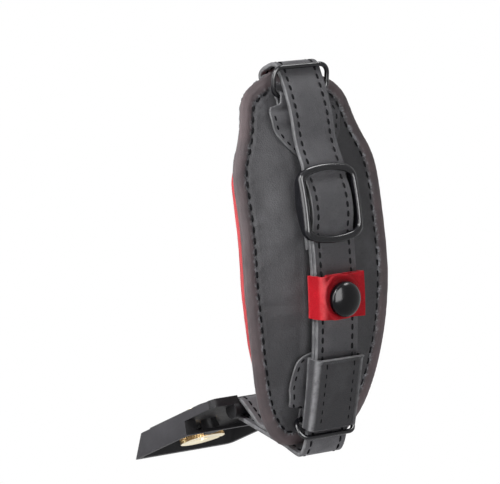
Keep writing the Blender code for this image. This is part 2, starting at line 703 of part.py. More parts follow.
def keeper_levels():
    """Radii of the keeper's leather layers, from the belts outwards."""
    inner = STACK_BOTTOM - GAP - LEATHER / 2
    under_layer = STACK_TOP + 2 * GAP + SNAP_FLANGE + LEATHER / 2
    flap = under_layer + LEATHER + FLAP_RISE
    return inner, under_layer, flap


def make_keeper(leather):
    """An open band whose flap lies over its own under layer."""
    inner, under_layer, flap = keeper_levels()
    half = KEEPER_WIDTH / 2 - LEATHER / 2
    path = [(-FLAP_UNDERLAP, under_layer), (half, under_layer), (half, inner), (-half, inner),
            (-half, flap), (half + LEATHER / 2 - FLAP_END_INSET, flap)]
    outline = rounded_corners(path, KEEPER_CORNER * 0.8)
    half_angle = angle_of(KEEPER_HEIGHT / 2, flap)
    made = band("keeper_band", outline, False, KEEPER_ANGLE - half_angle, KEEPER_ANGLE + half_angle, 4,
                LEATHER, leather)
    axis = polar(1.0, SNAP_ANGLE) - polar(0.0, SNAP_ANGLE)
    hole = rod("keeper_hole", SNAP_SHANK_RADIUS + GAP, flap - under_layer + 4 * LEATHER,
               polar((flap + under_layer) / 2, SNAP_ANGLE, SNAP_X), axis, segments=16)
    add_boolean(made, hole, "DIFFERENCE")
    return made


def make_snap(gloss, steel):
    """The snap's four turned pieces, on one axis through the keeper."""
    inner, under_layer, flap = keeper_levels()
    stand = frame_at(0.0, SNAP_ANGLE)
    stand.translation = Vector((SNAP_X, BEND_Y, BEND_Z))
    flap_top = flap + LEATHER / 2
    flap_bottom = flap - LEATHER / 2
    layer_top = under_layer + LEATHER / 2
    layer_bottom = under_layer - LEATHER / 2
    shank = SNAP_SHANK_RADIUS - SNAP_SHEET
    rim = flap_top + GAP
    dome = []
    for step in range(7):
        turn = math.radians(90 * step / 6)
        dome.append((max(SNAP_CAP_RADIUS * math.cos(turn), 0.00001),
                     rim + SNAP_CAP_RIM + SNAP_CAP_DOME * math.sin(turn)))
    cap_profile = [(SNAP_SHANK_RADIUS, flap_bottom - 0.0004), (SNAP_SHANK_RADIUS, rim)]
    cap_profile += [(SNAP_CAP_RADIUS * 0.98, rim), *dome[:-1], (0.0, dome[-1][1])]
    cap_profile += [(0.0, rim), (shank, rim), (shank, flap_bottom - 0.0004)]
    knob_top = flap_bottom - GAP - 0.0006
    socket_low = layer_top + GAP + SNAP_FLANGE + GAP
    socket = [(SNAP_KNOB_RADIUS + GAP, socket_low), (SNAP_SOCKET_RADIUS, socket_low),
              (SNAP_SOCKET_RADIUS, flap_bottom - GAP), (SNAP_SHANK_RADIUS + GAP, flap_bottom - GAP),
              (SNAP_SHANK_RADIUS + GAP, knob_top + GAP), (SNAP_KNOB_RADIUS + GAP, knob_top + GAP)]
    base = layer_top + GAP
    stud = [(shank + GAP, base), (SNAP_FLANGE_RADIUS, base), (SNAP_FLANGE_RADIUS, base + SNAP_FLANGE),
            (SNAP_KNOB_RADIUS * 0.85, base + SNAP_FLANGE), (SNAP_KNOB_RADIUS, knob_top - SNAP_KNOB_BULGE),
            (SNAP_KNOB_RADIUS * 0.8, knob_top), (shank + GAP, knob_top)]
    low = layer_bottom - GAP
    post = [(0.0, low - SNAP_FLANGE), (SNAP_FLANGE_RADIUS, low - SNAP_FLANGE), (SNAP_FLANGE_RADIUS, low),
            (shank, low), (shank, knob_top - 0.0002), (0.0, knob_top - 0.0002)]
    made = []
    for name, profile, finish in (("snap_cap", cap_profile, gloss), ("snap_socket", socket, steel),
                                  ("snap_stud", stud, steel), ("snap_post", post, steel)):
        piece = turned(name, list(reversed(profile)), 24, finish)
        piece.matrix_world = stand
        made.append(piece)
    return made


def make_sleeve(leather):
    """The wide leather sleeve round both belts above the lower ring."""
    low = STACK_BOTTOM - GAP - LEATHER / 2
    high = STACK_TOP + GAP + LEATHER / 2
    half = BELT_WIDTH / 2 + SLEEVE_PLAY + LEATHER / 2
    corners = [(0.0, low), (half, low), (half, high), (-half, high), (-half, low), (0.0, low)]
    outline = rounded_corners(corners, SLEEVE_CORNER * 0.8)[:-1]
    return band("tail_sleeve", outline, True, SLEEVE_START_ANGLE, SLEEVE_END_ANGLE, 4, LEATHER, leather)


def drafted_block(name, top, bottom, z_top, z_bottom, corner, finish=None, collection=CUTTERS):
    """A block whose bottom outline differs from its top one."""
    shape = bmesh.new()
    bmesh.ops.create_cube(shape, size=1.0)
    for vert in shape.verts:
        width, start, end = top if vert.co.z > 0 else bottom
        vert.co.x = math.copysign(width / 2, vert.co.x)
        vert.co.y = end if vert.co.y > 0 else start
        vert.co.z = z_top if vert.co.z > 0 else z_bottom
    upright = [edge for edge in shape.edges
               if abs(edge.verts[0].co.z - edge.verts[1].co.z) > abs(z_top - z_bottom) / 2]
    bmesh.ops.bevel(shape, geom=upright, offset=corner, segments=4, profile=0.5, affect="EDGES")
    return object_from_bmesh(name, shape, finish, collection)


def make_base_plate(plastic):
    """Moulded plate: hollow underside, end window, strap bar, screw seat."""
    skirt_width = PLATE_WIDTH + 2 * PLATE_SIDE_DRAFT
    made = drafted_block("base_plate", (PLATE_WIDTH, PLATE_TOP_START, PLATE_TOP_END),
                         (skirt_width, PLATE_TOP_START, PLATE_TOP_END + PLATE_FLARE),
                         PLATE_TOP, PLATE_BOTTOM, PLATE_CORNER, plastic, MODEL)
    wall = PLATE_WALL
    recess = drafted_block("plate_recess",
                           (PLATE_WIDTH - 2 * wall, PLATE_LIP_END + wall, PLATE_TOP_END - wall),
                           (skirt_width - 2 * wall, PLATE_LIP_END + wall, PLATE_TOP_END + PLATE_FLARE - wall),
                           WEB_BOTTOM, PLATE_BOTTOM - 0.001, PLATE_CORNER - 0.001)
    boss = rod("plate_boss", BOSS_RADIUS, PLATE_WEB, (0, SCREW_Y, WEB_BOTTOM - 0.0001), (0, 0, 1), segments=40)
    lip = box("plate_lip_cut", (-skirt_width, PLATE_TOP_START - 0.01, PLATE_BOTTOM - 0.01),
              (skirt_width, PLATE_LIP_END, PLATE_TOP - PLATE_LIP))
    window = box("plate_window", (-PLATE_WIDTH / 2 + 0.005, PLATE_LIP_END - 0.002, PLATE_BOTTOM + PLATE_RIM),
                 (PLATE_WIDTH / 2 - 0.005, PLATE_LIP_END + wall + 0.002, PLATE_TOP - PLATE_LIP))
    half_slot = BELT_WIDTH / 2 + STRAP_SLOT_PLAY
    slot_end = STRAP_BAR_Y + BAR_LOOP_RADIUS + BELT_THICKNESS / 2 + STRAP_SLOT_PLAY
    slot = box("plate_slot", (-half_slot, PLATE_TOP_START - 0.01, PLATE_BOTTOM - 0.01),
               (half_slot, slot_end, PLATE_TOP + 0.01))
    add_boolean(made, recess, "DIFFERENCE")
    add_boolean(made, lip, "DIFFERENCE")
    add_boolean(made, window, "DIFFERENCE")
    add_boolean(made, slot, "DIFFERENCE")
    for side in (-1, 1):
        middle = side * (half_slot + STRAP_EAR_THICKNESS / 2)
        ear = rod("strap_ear", STRAP_EAR_RADIUS, STRAP_EAR_THICKNESS, (middle, STRAP_BAR_Y + 0.0005, STRAP_BAR_Z),
                  (1, 0, 0), segments=24)
        neck = box("strap_ear_neck", (middle - STRAP_EAR_THICKNESS / 2, STRAP_BAR_Y - 0.002, STRAP_BAR_Z),
                   (middle + STRAP_EAR_THICKNESS / 2, STRAP_BAR_Y + STRAP_EAR_RADIUS, PLATE_TOP - PLATE_LIP / 2))
        add_boolean(made, ear, "UNION")
        add_boolean(made, neck, "UNION")
    bar = rod("strap_bar", STRAP_BAR_RADIUS, 2 * half_slot + STRAP_EAR_THICKNESS,
              (0, STRAP_BAR_Y, STRAP_BAR_Z), (1, 0, 0), segments=24)
    add_boolean(made, bar, "UNION")
    post = rod("plate_post", POST_RADIUS, PLATE_HEIGHT - PLATE_WEB / 2 - 0.0008,
               (POST_X, POST_Y, (PLATE_TOP - PLATE_WEB / 2 + PLATE_BOTTOM + 0.0008) / 2), (0, 0, 1), segments=24)
    add_boolean(made, post, "UNION")
    add_boolean(made, boss, "UNION")
    hole = rod("screw_hole", SCREW_SHANK_RADIUS + GAP, 0.04, (0, SCREW_Y, 0), (0, 0, 1), segments=32)
    pocket = rod("clip_pocket", CLIP_RADIUS + 2 * GAP, 2 * CLIP_POCKET, (0, SCREW_Y, PLATE_TOP), (0, 0, 1),
                 segments=32)
    add_boolean(made, hole, "DIFFERENCE")
    add_boolean(made, pocket, "DIFFERENCE")
    return made


def make_grip_sheet(rubber):
    half = PLATE_WIDTH / 2 - SHEET_MARGIN
    slot_end = STRAP_BAR_Y + BAR_LOOP_RADIUS + BELT_THICKNESS / 2 + STRAP_SLOT_PLAY
    extent = (2 * half, slot_end + SHEET_MARGIN, PLATE_TOP_END - SHEET_MARGIN / 2)
    made = drafted_block("grip_sheet", extent, extent, 0.0, -SHEET_THICKNESS, 0.003, rubber, MODEL)
    hole = rod("sheet_hole", CLIP_RADIUS + 2 * GAP, 0.01, (0, SCREW_Y, 0), (0, 0, 1), segments=32)
    add_boolean(made, hole, "DIFFERENCE")
    return made


def make_screw(brass, steel, nylon):
    boss_bottom = WEB_BOTTOM - 0.0001 - PLATE_WEB / 2
    washer_top = boss_bottom - GAP
    head_top = washer_top - WASHER_THICKNESS - GAP
    head_bottom = head_top - SCREW_HEAD_HEIGHT
    clip_low = PLATE_TOP - CLIP_POCKET + GAP
    clip_high = clip_low + CLIP_THICKNESS
    shank = SCREW_SHANK_RADIUS
    neck = shank - CLIP_GROOVE
    profile = [(0.0, head_bottom + SCREW_SOCKET_DEPTH), (SCREW_SOCKET_RADIUS, head_bottom + SCREW_SOCKET_DEPTH),
               (SCREW_SOCKET_RADIUS, head_bottom), (SCREW_HEAD_RADIUS - 0.0004, head_bottom),
               (SCREW_HEAD_RADIUS, head_bottom + 0.0004), (SCREW_HEAD_RADIUS, head_top - 0.0004),
               (SCREW_HEAD_RADIUS - 0.0004, head_top), (shank, head_top), (shank, clip_low - GAP / 2),
               (neck, clip_low - GAP / 2), (neck, clip_high + GAP / 2), (shank, clip_high + GAP / 2),
               (shank, SCREW_REACH - 0.0006), (shank - 0.0006, SCREW_REACH), (0.0, SCREW_REACH)]
    screw = turned("tripod_screw", list(reversed(profile)), 40, brass)
    screw.location = (0, SCREW_Y, 0)
    slot = box("coin_slot", (-SCREW_HEAD_RADIUS - 0.001, SCREW_Y - COIN_SLOT_WIDTH / 2, head_bottom - 0.001),
               (SCREW_HEAD_RADIUS + 0.001, SCREW_Y + COIN_SLOT_WIDTH / 2, head_bottom + COIN_SLOT_DEPTH))
    add_boolean(screw, slot, "DIFFERENCE")
    inner = shank + GAP
    washer = turned("screw_washer", [(inner, washer_top), (WASHER_RADIUS, washer_top),
                                     (WASHER_RADIUS, washer_top - WASHER_THICKNESS),
                                     (inner, washer_top - WASHER_THICKNESS)], 32, nylon)
    washer.location = screw.location
    clip = turned("screw_clip", [(neck + GAP, clip_high), (CLIP_RADIUS, clip_high), (CLIP_RADIUS, clip_low),
                                 (neck + GAP, clip_low)], 24, steel)
    clip.location = screw.location
    gap = box("clip_gap", (-COIN_SLOT_WIDTH, SCREW_Y, clip_low - 0.001),
              (COIN_SLOT_WIDTH, SCREW_Y + CLIP_RADIUS + 0.001, clip_high + 0.001))
    add_boolean(clip, gap, "DIFFERENCE")


def main():
    clear_scene()
    black = material("black_leather", (0.030, 0.030, 0.033), 0.45)
    red = material("red_leather", (0.55, 0.02, 0.03), 0.40)
    foam = material("foam", (0.20, 0.20, 0.20), 0.95)
    metal = material("black_enamel", (0.012, 0.012, 0.014), 0.18, 0.3)
    gloss = material("black_gloss", (0.006, 0.006, 0.008), 0.08)
    steel = material("plated_steel", (0.55, 0.55, 0.56), 0.30, 1.0)
    plastic = material("matt_plastic", (0.025, 0.025, 0.028), 0.60)
    rubber = material("rubber", (0.018, 0.018, 0.018), 0.80)
    brass = material("brass", (0.78, 0.60, 0.32), 0.25, 1.0)
    nylon = material("nylon", (0.70, 0.70, 0.68), 0.50)
    make_pad(black, foam, red)
    make_adjusting_belt(black)
    make_anchor_belt(black)
    ring_wire("top_ring", TOP_RING_ANGLE, TOP_RING_RADIUS,
              polar(FRONT_BELT_RADIUS + BELT_THICKNESS / 2 + GAP + RING_WIRE / 2, TOP_RING_FRONT_ANGLE), metal)
    ring_wire("bottom_ring", BOTTOM_RING_ANGLE, BOTTOM_RING_RADIUS,
              polar(INNER_BELT_RADIUS + BELT_THICKNESS / 2 + GAP + RING_WIRE / 2, BOTTOM_RING_FRONT_ANGLE), metal)
    make_tab("top_tab", TOP_RING_ANGLE, TOP_RING_RADIUS, TOP_TAB_LENGTH, 1, TOP_TAB_SHAPE, black)
    make_tab("bottom_tab", BOTTOM_RING_ANGLE, BOTTOM_RING_RADIUS, BOTTOM_TAB_LENGTH, -1, BOTTOM_TAB_SHAPE,
             black)
    make_buckle(metal)
    make_keeper(red)
    make_snap(gloss, steel)
    make_sleeve(black)
    make_base_plate(plastic)
    make_grip_sheet(rubber)
    make_screw(brass, steel, nylon)


main()
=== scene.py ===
"""Dressed model of a camera hand grip strap, laid out as an add-on and run as a script."""
import math

import bmesh
import bpy
import numpy as np
from mathutils import Matrix, Vector


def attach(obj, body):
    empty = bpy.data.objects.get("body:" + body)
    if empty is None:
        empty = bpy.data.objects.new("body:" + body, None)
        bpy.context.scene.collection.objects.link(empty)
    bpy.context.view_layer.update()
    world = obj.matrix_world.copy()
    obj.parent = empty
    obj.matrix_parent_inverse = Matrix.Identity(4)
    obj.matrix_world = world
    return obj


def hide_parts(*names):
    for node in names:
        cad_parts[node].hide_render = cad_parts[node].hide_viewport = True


bl_info = {
    "name": "Camera hand grip strap",
    "version": (1, 0, 0),
    "blender": (4, 5, 0),
    "location": "3D View > Sidebar > Hand strap",
    "description": "Builds the stitched pad, belts, keeper and base plate of a camera hand strap",
    "category": "Object",
}

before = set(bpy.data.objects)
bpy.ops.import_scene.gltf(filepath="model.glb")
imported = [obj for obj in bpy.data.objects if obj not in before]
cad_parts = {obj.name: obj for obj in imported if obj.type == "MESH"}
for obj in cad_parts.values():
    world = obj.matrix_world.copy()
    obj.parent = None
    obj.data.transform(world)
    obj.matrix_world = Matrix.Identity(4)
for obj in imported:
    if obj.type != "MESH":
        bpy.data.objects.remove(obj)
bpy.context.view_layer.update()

# Bend of the strap, as in the part's source
BEND_Y = 0.1221
BEND_Z = 0.108
PAD_CROWN_RADIUS = 0.229
PAD_START_ANGLE = -2.0
PAD_LENGTH = 0.160
PAD_SHAPE = ((0.0, 0.0090), (0.0017, 0.0125), (0.0055, 0.0208), (0.0085, 0.0245), (0.013, 0.0275),
             (0.023, 0.0302), (0.030, 0.0330), (0.036, 0.0357), (0.045, 0.0374), (0.065, 0.0375),
             (0.088, 0.0378), (0.100, 0.0370), (0.113, 0.0355), (0.127, 0.0331), (0.138, 0.0303),
             (0.147, 0.0268), (0.154, 0.0222), (0.1585, 0.0172), (0.160, 0.0130))
PAD_HALF_WIDTH = 0.0378
PAD_CROWN = 0.0035
PAD_BORDER = 0.006
COVER_THICKNESS = 0.0012
LINING_THICKNESS = 0.003
GAP = 0.0003

BELT_WIDTH = 0.0215
BELT_THICKNESS = 0.0018
TAIL_END_ANGLE = 33.2
RETURN_END_ANGLE = 16.9
FOOT_ANGLE = 36.2
LUG_TURN = ((0.0006, 0.0020), (0.0030, 0.0032), (0.0065, 0.0034), (0.0100, 0.0032), (0.0124, 0.0018),
            (0.0130, -0.0025))
RING_WIRE = 0.0020
RING_WIDTH = 0.0298
RING_CORNER = 0.004
TAB_THICKNESS = 0.0010
TOP_RING_ANGLE = 0.95
TOP_RING_RADIUS = 0.2299
TOP_TAB_LENGTH = 0.0306
TOP_TAB_SHAPE = ((0.0115, -0.009), (0.0115, 0.0024), (0.0160, 0.0034), (0.0176, 0.0070), (0.0178, 0.0110),
                 (0.0166, 0.0156), (0.0146, 0.0191), (0.0110, 0.0231), (0.0080, 0.0258), (0.0040, 0.0288),
                 (0.0008, 0.0306))
BOTTOM_RING_ANGLE = 34.8
BOTTOM_RING_RADIUS = 0.2273
BOTTOM_TAB_LENGTH = 0.029
BOTTOM_TAB_SHAPE = ((0.0103, -0.009), (0.0103, 0.0045), (0.0165, 0.0060), (0.0177, 0.0090), (0.0178, 0.0170),
                    (0.0168, 0.0235), (0.0150, 0.0265), (0.0115, 0.0284), (0.0085, 0.029))
BUCKLE_ANGLE = 12.5
BUCKLE_WIDTH = 0.030
BUCKLE_LENGTH = 0.0325
BUCKLE_BOW = 0.0022
BUCKLE_CORNER = 0.004
BUCKLE_SIDE_WALL = 0.0028
BUCKLE_END_BAR = 0.0028
BUCKLE_END_HEIGHT = 0.0016
BUCKLE_MIDDLE_RISE = 0.0010
BUCKLE_BAR_WIDTH = 0.005
BUCKLE_BAR_THICKNESS = 0.0015
KEEPER_ANGLE = 21.65
KEEPER_HEIGHT = 0.0180
KEEPER_WIDTH = 0.0243
KEEPER_CORNER = 0.0024
LEATHER = 0.0011
FLAP_RISE = 0.0021
FLAP_UNDERLAP = 0.007
FLAP_END_INSET = 0.002
SNAP_X = -0.0015
SNAP_ANGLE = 21.9
SNAP_CAP_RADIUS = 0.0073
SNAP_CAP_RIM = 0.0016
SNAP_CAP_DOME = 0.0032
SLEEVE_START_ANGLE = 27.9
SLEEVE_END_ANGLE = 35.3
SLEEVE_PLAY = 0.0005
SLEEVE_CORNER = 0.0018
STRAP_BAR = (-0.0265, -0.0068)
STRAND_SLOPE = 36.5
STRAND_LENGTH = 0.0355
STRAND_FOLD_LENGTH = 0.024
PLATE_BOTTOM = -0.0110
PLATE_WEB_BOTTOM = -0.0043
PLATE_LIP_END = -0.007
PLATE_HOLLOW_HALF = 0.0243
SCREW_Y = 0.0185
SCREW_HEAD_RADIUS = 0.0098
SCREW_HEAD_BOTTOM = -0.0099
SCREW_HEAD_HEIGHT = 0.0028
SCREW_SOCKET_RADIUS = 0.00255
SCREW_SOCKET_DEPTH = 0.0045
SCREW_SHANK_RADIUS = 0.003175
SCREW_REACH = 0.0048
SCREW_SLOT = (0.03, 0.0016, 0.0024)
KNURL_STEP = 7.5
THREAD_PITCH = 0.00127
THREAD_TURNS = 2.6
THREAD_START = 0.0009
THREAD_DEPTH = 0.00045
THREAD_STEPS = 48

# Sewing, leather and stage
PAD_SEAM_INSET = 0.0062
PAD_SAG = 0.0025
PAD_STITCH_LENGTH = 0.0028
BELT_STITCH_LENGTH = 0.0029
TAB_STITCH_PITCH = 0.0040
TAB_STITCH_LENGTH = 0.0025
SLEEVE_STITCH_LENGTH = 0.0024
SLEEVE_SEAM_INSET = 0.0046
SLEEVE_MOUTH_LIFT = 0.0016
TOP_RING_FRONT_ANGLE = -1.6
BOTTOM_RING_FRONT_ANGLE = 36.15
SNAP_HOLE_RADIUS = 0.0021
SNAP_SHANK_RADIUS = 0.0018
FACE_TOLERANCE = 0.0004
MARGIN_COLOUR = (0.145, 0.113, 0.118)
# Whitish tone laid along the pad's seam: partly scuffing, partly a painted highlight.
SEAM_SCUFF_AND_HIGHLIGHT_COLOUR = (0.40, 0.41, 0.44)
FLOOR_LEVEL = -0.36
LAMP_AIM = Vector((0, -0.05, 0.04))
CLOTH = {"quality": 5, "mass": 0.3, "tension_stiffness": 8, "compression_stiffness": 8,
         "shear_stiffness": 4, "bending_stiffness": 0.6, "use_pressure": True,
         "uniform_pressure_force": 4.0, "shrink_min": -0.02, "vertex_group_mass": "sewn"}

RETURN_RADIUS = PAD_CROWN_RADIUS + GAP + BELT_THICKNESS / 2
BUCKLE_BAR_RADIUS = RETURN_RADIUS + BELT_THICKNESS / 2 + GAP + BUCKLE_BAR_THICKNESS / 2
OVER_BAR_RADIUS = BUCKLE_BAR_RADIUS + BUCKLE_BAR_THICKNESS / 2 + GAP + BELT_THICKNESS / 2
INNER_BELT_RADIUS = RETURN_RADIUS + BELT_THICKNESS + GAP
OUTER_BELT_RADIUS = INNER_BELT_RADIUS + BELT_THICKNESS + GAP
OUTER_OVER_BAR_RADIUS = OVER_BAR_RADIUS + BELT_THICKNESS + GAP
FRONT_BELT_RADIUS = OUTER_BELT_RADIUS - 0.001
STACK_TOP = OUTER_BELT_RADIUS + BELT_THICKNESS / 2
STACK_BOTTOM = INNER_BELT_RADIUS - BELT_THICKNESS / 2
PAD_BASE_RADIUS = PAD_CROWN_RADIUS - PAD_CROWN
TAB_LOOP_RADIUS = RING_WIRE / 2 + GAP + TAB_THICKNESS / 2
BAR_LOOP_RADIUS = 0.0026 + GAP + BELT_THICKNESS / 2

# The photograph's view
VIEW_AZIMUTH = 38.0
VIEW_ELEVATION = -10.3
VIEW_ROLL = 15.3
VIEW_DISTANCE = 1.45
VIEW_TARGET = Vector((0.0, -0.050, 0.0585))
VIEW_LENS = 36 * (VIEW_DISTANCE / 0.00042) / 500


def length_property(name, description, default, low, high):
    return bpy.props.FloatProperty(name=name, description=description, default=default, min=low, max=high,
                                   unit="LENGTH")


def colour_property(name, description, default):
    return bpy.props.FloatVectorProperty(name=name, description=description, subtype="COLOR", size=3,
                                         default=default, min=0.0, max=1.0)


class StrapSizes(bpy.types.PropertyGroup):
    stitch_pitch: length_property("Belt stitch pitch", "Distance between two stitches on the belts",
                                  0.0039, 0.002, 0.01)
    border_pitch: length_property("Pad stitch pitch", "Distance between two stitches round the pad",
                                  0.0046, 0.002, 0.01)
    thread_radius: length_property("Thread radius", "Radius of the sewing thread", 0.00033, 0.0001, 0.001)
    border: length_property("Pad border", "Distance of the pad's seam from its edge",
                            PAD_SEAM_INSET, 0.002, 0.01)
    belt_row: length_property("Belt seam place", "Distance of a belt's seams from its middle line",
                              0.0078, 0.004, 0.0095)
    pad_swell: length_property("Pad swell", "The most that the simulated cover moves outwards",
                               0.0009, 0.0, 0.003)


class StrapColours(bpy.types.PropertyGroup):
    leather: colour_property("Black leather", "Colour of the pad, belts, tabs and sleeve",
                             (0.078, 0.077, 0.082))
    keeper: colour_property("Red leather", "Colour of the keeper band", (0.42, 0.010, 0.018))
    lining: colour_property("Red lining", "Colour of the soft lining", (0.50, 0.016, 0.024))
    plate: colour_property("Matt plastic", "Colour of the base plate", (0.030, 0.029, 0.033))
    brass: colour_property("Brass", "Colour of the camera screw", (0.94, 0.84, 0.62))


class Value:
    """A number socket that Python's operators can work on."""

    def __init__(self, finish, socket):
        self.finish = finish
        self.socket = socket

    def math(self, operation, *others, flipped=False):
        terms = [self, *others]
        if flipped:
            terms.reverse()
        return self.finish.node("ShaderNodeMath", {"operation": operation}, dict(enumerate(terms)))

    def step(self, low, high):
        """0 below low, 1 above high and a smooth rise between them."""
        settings = {"interpolation_type": "SMOOTHSTEP"}
        return self.finish.node("ShaderNodeMapRange", settings, {0: self, 1: low, 2: high})


def operator_of(operation, flipped):
    return lambda value, other: value.math(operation, other, flipped=flipped)


for symbol, operation in (("add", "ADD"), ("sub", "SUBTRACT"), ("mul", "MULTIPLY"), ("truediv", "DIVIDE"),
                          ("pow", "POWER")):
    setattr(Value, f"__{symbol}__", operator_of(operation, False))
    setattr(Value, f"__r{symbol}__", operator_of(operation, True))


class Finish:
    """A material that is built up node by node."""

    def __init__(self, name):
        self.material = bpy.data.materials.new(name)
        self.material.use_nodes = True
        self.tree = self.material.node_tree
        self.shader = self.tree.nodes["Principled BSDF"]
        self.place = self.node("ShaderNodeTexCoord", {}, {}, "Object")

    def node(self, kind, settings, inputs, output=0):
        made = self.tree.nodes.new(kind)
        stops = settings.pop("stops", None)
        for key, value in settings.items():
            setattr(made, key, value)
        if stops:
            ramp = made.color_ramp.elements
            while len(ramp) < len(stops):
                ramp.new(0.5)
            for element, (position, colour) in zip(ramp, stops):
                element.position = position
                element.color = (*colour, 1.0)
        for key, value in inputs.items():
            self.feed(made.inputs[key], value)
        return Value(self, made.outputs[output])

    def feed(self, socket, value):
        if isinstance(value, Value):
            self.tree.links.new(value.socket, socket)
        elif socket.type == "RGBA":
            socket.default_value = (*value, 1.0)
        else:
            socket.default_value = value

    def set(self, **inputs):
        for key, value in inputs.items():
            self.feed(self.shader.inputs[key.replace("_", " ")], value)
        return self

    def mapped(self, **changes):
        return self.node("ShaderNodeMapping", {}, {"Vector": self.place, **changes})

    def noise(self, scale, detail=3.0, rough=0.55, place=None, distortion=0.0):
        return self.node("ShaderNodeTexNoise", {}, {"Vector": place or self.place, "Scale": scale,
                                                    "Detail": detail, "Roughness": rough,
                                                    "Distortion": distortion})

    def cells(self, scale, feature="DISTANCE_TO_EDGE"):
        return self.node("ShaderNodeTexVoronoi", {"feature": feature}, {"Vector": self.place, "Scale": scale})

    def bands(self, scale, direction, distortion=0.0):
        return self.node("ShaderNodeTexWave", {"bands_direction": direction},
                         {"Vector": self.place, "Scale": scale, "Distortion": distortion}, 1)

    def marked(self, attribute):
        return self.node("ShaderNodeAttribute", {"attribute_name": attribute}, {}, "Fac")

    def tone(self):
        """What feeds the base colour so far."""
        return Value(self, self.shader.inputs["Base Color"].links[0].from_socket)

    def mix(self, factor, first, second):
        return self.node("ShaderNodeMix", {"data_type": "RGBA"}, {0: factor, 6: first, 7: second}, 2)

    def bump(self, height, distance, strength=1.0, normal=None):
        inputs = {"Height": height, "Distance": distance, "Strength": strength}
        if normal:
            inputs["Normal"] = normal
        return self.node("ShaderNodeBump", {}, inputs)


FINISHES = {}


def shade(colour, factor):
    return tuple(min(part * factor, 1.0) for part in colour)


def leather_finish(name, colour, roughness, grain=1150.0, depth=0.00006):
    """Smooth-faced leather with a fine pebble grain, creases and handled patches."""
    made = Finish(name)
    broad = made.noise(55.0, 4.0)
    fine = made.noise(900.0)
    pebbles = made.cells(grain)
    height = pebbles.step(0.0, 0.22) * 0.7 + fine * 0.3
    creases = made.noise(210.0, 5.0, 0.65, distortion=1.2)
    worn = broad.step(0.42, 0.68)
    tone = made.mix(worn, shade(colour, 0.86), shade(colour, 1.16))
    tone = made.mix((1.0 - pebbles.step(0.0, 0.10)) * 0.5, tone, shade(colour, 0.55))
    normal = made.bump(height, depth, 1.0, made.bump(creases, 0.00022, 0.5))
    return made.set(Base_Color=tone, Roughness=roughness + (fine - 0.5) * 0.16 + (worn - 0.5) * -0.07,
                    Normal=normal, Specular_IOR_Level=0.05)


def band_finish(name, colour, roughness, fold_wear_and_highlight_colour):
    """Leather whose fold corners are painted paler where the mesh is marked as lightened: partly rubbing,
    partly a painted highlight along the folds.
    """
    made = leather_finish(name, colour, roughness, 1250.0)
    worn = made.marked("worn")
    patches = made.noise(300.0, 4.0, 0.65).step(0.30, 0.62)
    return made.set(Base_Color=made.mix(worn * (0.35 + patches * 0.6), made.tone(), fold_wear_and_highlight_colour))


def cover_finish(name, colour, roughness):
    """The pad's leather, paler on its turned margin, and along the seam scuffed and painted with a whitish
    highlight.
    """
    made = leather_finish(name, colour, roughness)
    margin = made.marked("margin")
    seam = made.marked("seam")
    scuffed_and_lit = made.noise(420.0, 4.0, 0.7).step(0.46, 0.66)
    patches = made.noise(95.0).step(0.35, 0.65)
    tone = made.mix(margin * (0.55 + patches * 0.35), made.tone(), MARGIN_COLOUR)
    return made.set(Base_Color=made.mix(seam * scuffed_and_lit * 0.75, tone, SEAM_SCUFF_AND_HIGHLIGHT_COLOUR))


def edge_finish(name, colour, roughness):
    """The painted cut edge of leather, with short burrs along it."""
    made = Finish(name)
    burr = made.noise(1600.0, 4.0, 0.7)
    patches = made.noise(240.0)
    tone = made.mix(patches.step(0.35, 0.7), shade(colour, 0.7), shade(colour, 1.35))
    return made.set(Base_Color=tone, Roughness=roughness + (burr - 0.5) * 0.2,
                    Normal=made.bump(burr, 0.00010), Specular_IOR_Level=0.2)


def thread_finish(name, colour):
    """Waxed sewing thread with its plies."""
    made = Finish(name)
    plies = made.bands(900.0, "DIAGONAL")
    fuzz = made.noise(2600.0)
    tone = made.mix(plies * 0.7 + fuzz * 0.3, shade(colour, 0.55), shade(colour, 1.5))
    return made.set(Base_Color=tone, Roughness=0.62 + (fuzz - 0.5) * 0.2, Normal=made.bump(plies, 0.00006),
                    Specular_IOR_Level=0.03)


def lining_finish(name, colour):
    """Soft brushed lining with a close knit."""
    made = Finish(name)
    across = made.bands(520.0, "X", 0.6)
    along = made.bands(430.0, "Z", 0.6)
    fuzz = made.noise(1500.0, 4.0, 0.7)
    patches = made.noise(70.0)
    knit = across * 0.5 + along * 0.5
    tone = made.mix(knit * 0.6 + fuzz * 0.4, shade(colour, 0.62), shade(colour, 1.18))
    tone = made.mix(patches.step(0.4, 0.7) * 0.35, tone, shade(colour, 0.8))
    normal = made.bump(fuzz, 0.00008, 0.8, made.bump(knit, 0.00009))
    return made.set(Base_Color=tone, Roughness=0.86 + (fuzz - 0.5) * 0.12, Normal=normal, Sheen_Weight=0.35,
                    Sheen_Roughness=0.45)


def enamel_finish(name, colour, roughness, level):
    """Baked black enamel over a casting, with a slight orange peel."""
    made = Finish(name)
    peel = made.noise(900.0, 2.0)
    rub = made.noise(160.0, 5.0, 0.65)
    tone = made.mix(rub.step(0.55, 0.75), colour, shade(colour, 1.9))
    return made.set(Base_Color=tone, Roughness=roughness + (rub - 0.5) * 0.10,
                    Normal=made.bump(peel, 0.000012), Specular_IOR_Level=level)


def plastic_finish(name, colour):
    """Moulded plastic with a fine spark-eroded face and faint handling marks."""
    made = Finish(name)
    spark = made.noise(2200.0, 3.0, 0.6)
    cloud = made.noise(60.0, 4.0)
    marks = made.noise(500.0, 4.0, 0.6, made.mapped(Scale=(1.0, 0.12, 1.0), Rotation=(0.0, 0.0, 0.5)))
    tone = made.mix(cloud.step(0.35, 0.7), shade(colour, 0.85), shade(colour, 1.2))
    tone = made.mix(marks.step(0.66, 0.8) * 0.5, tone, shade(colour, 1.9))
    return made.set(Base_Color=tone, Roughness=0.52 + (spark - 0.5) * 0.22 - marks.step(0.6, 0.8) * 0.06,
                    Normal=made.bump(spark, 0.00005), Specular_IOR_Level=0.10)


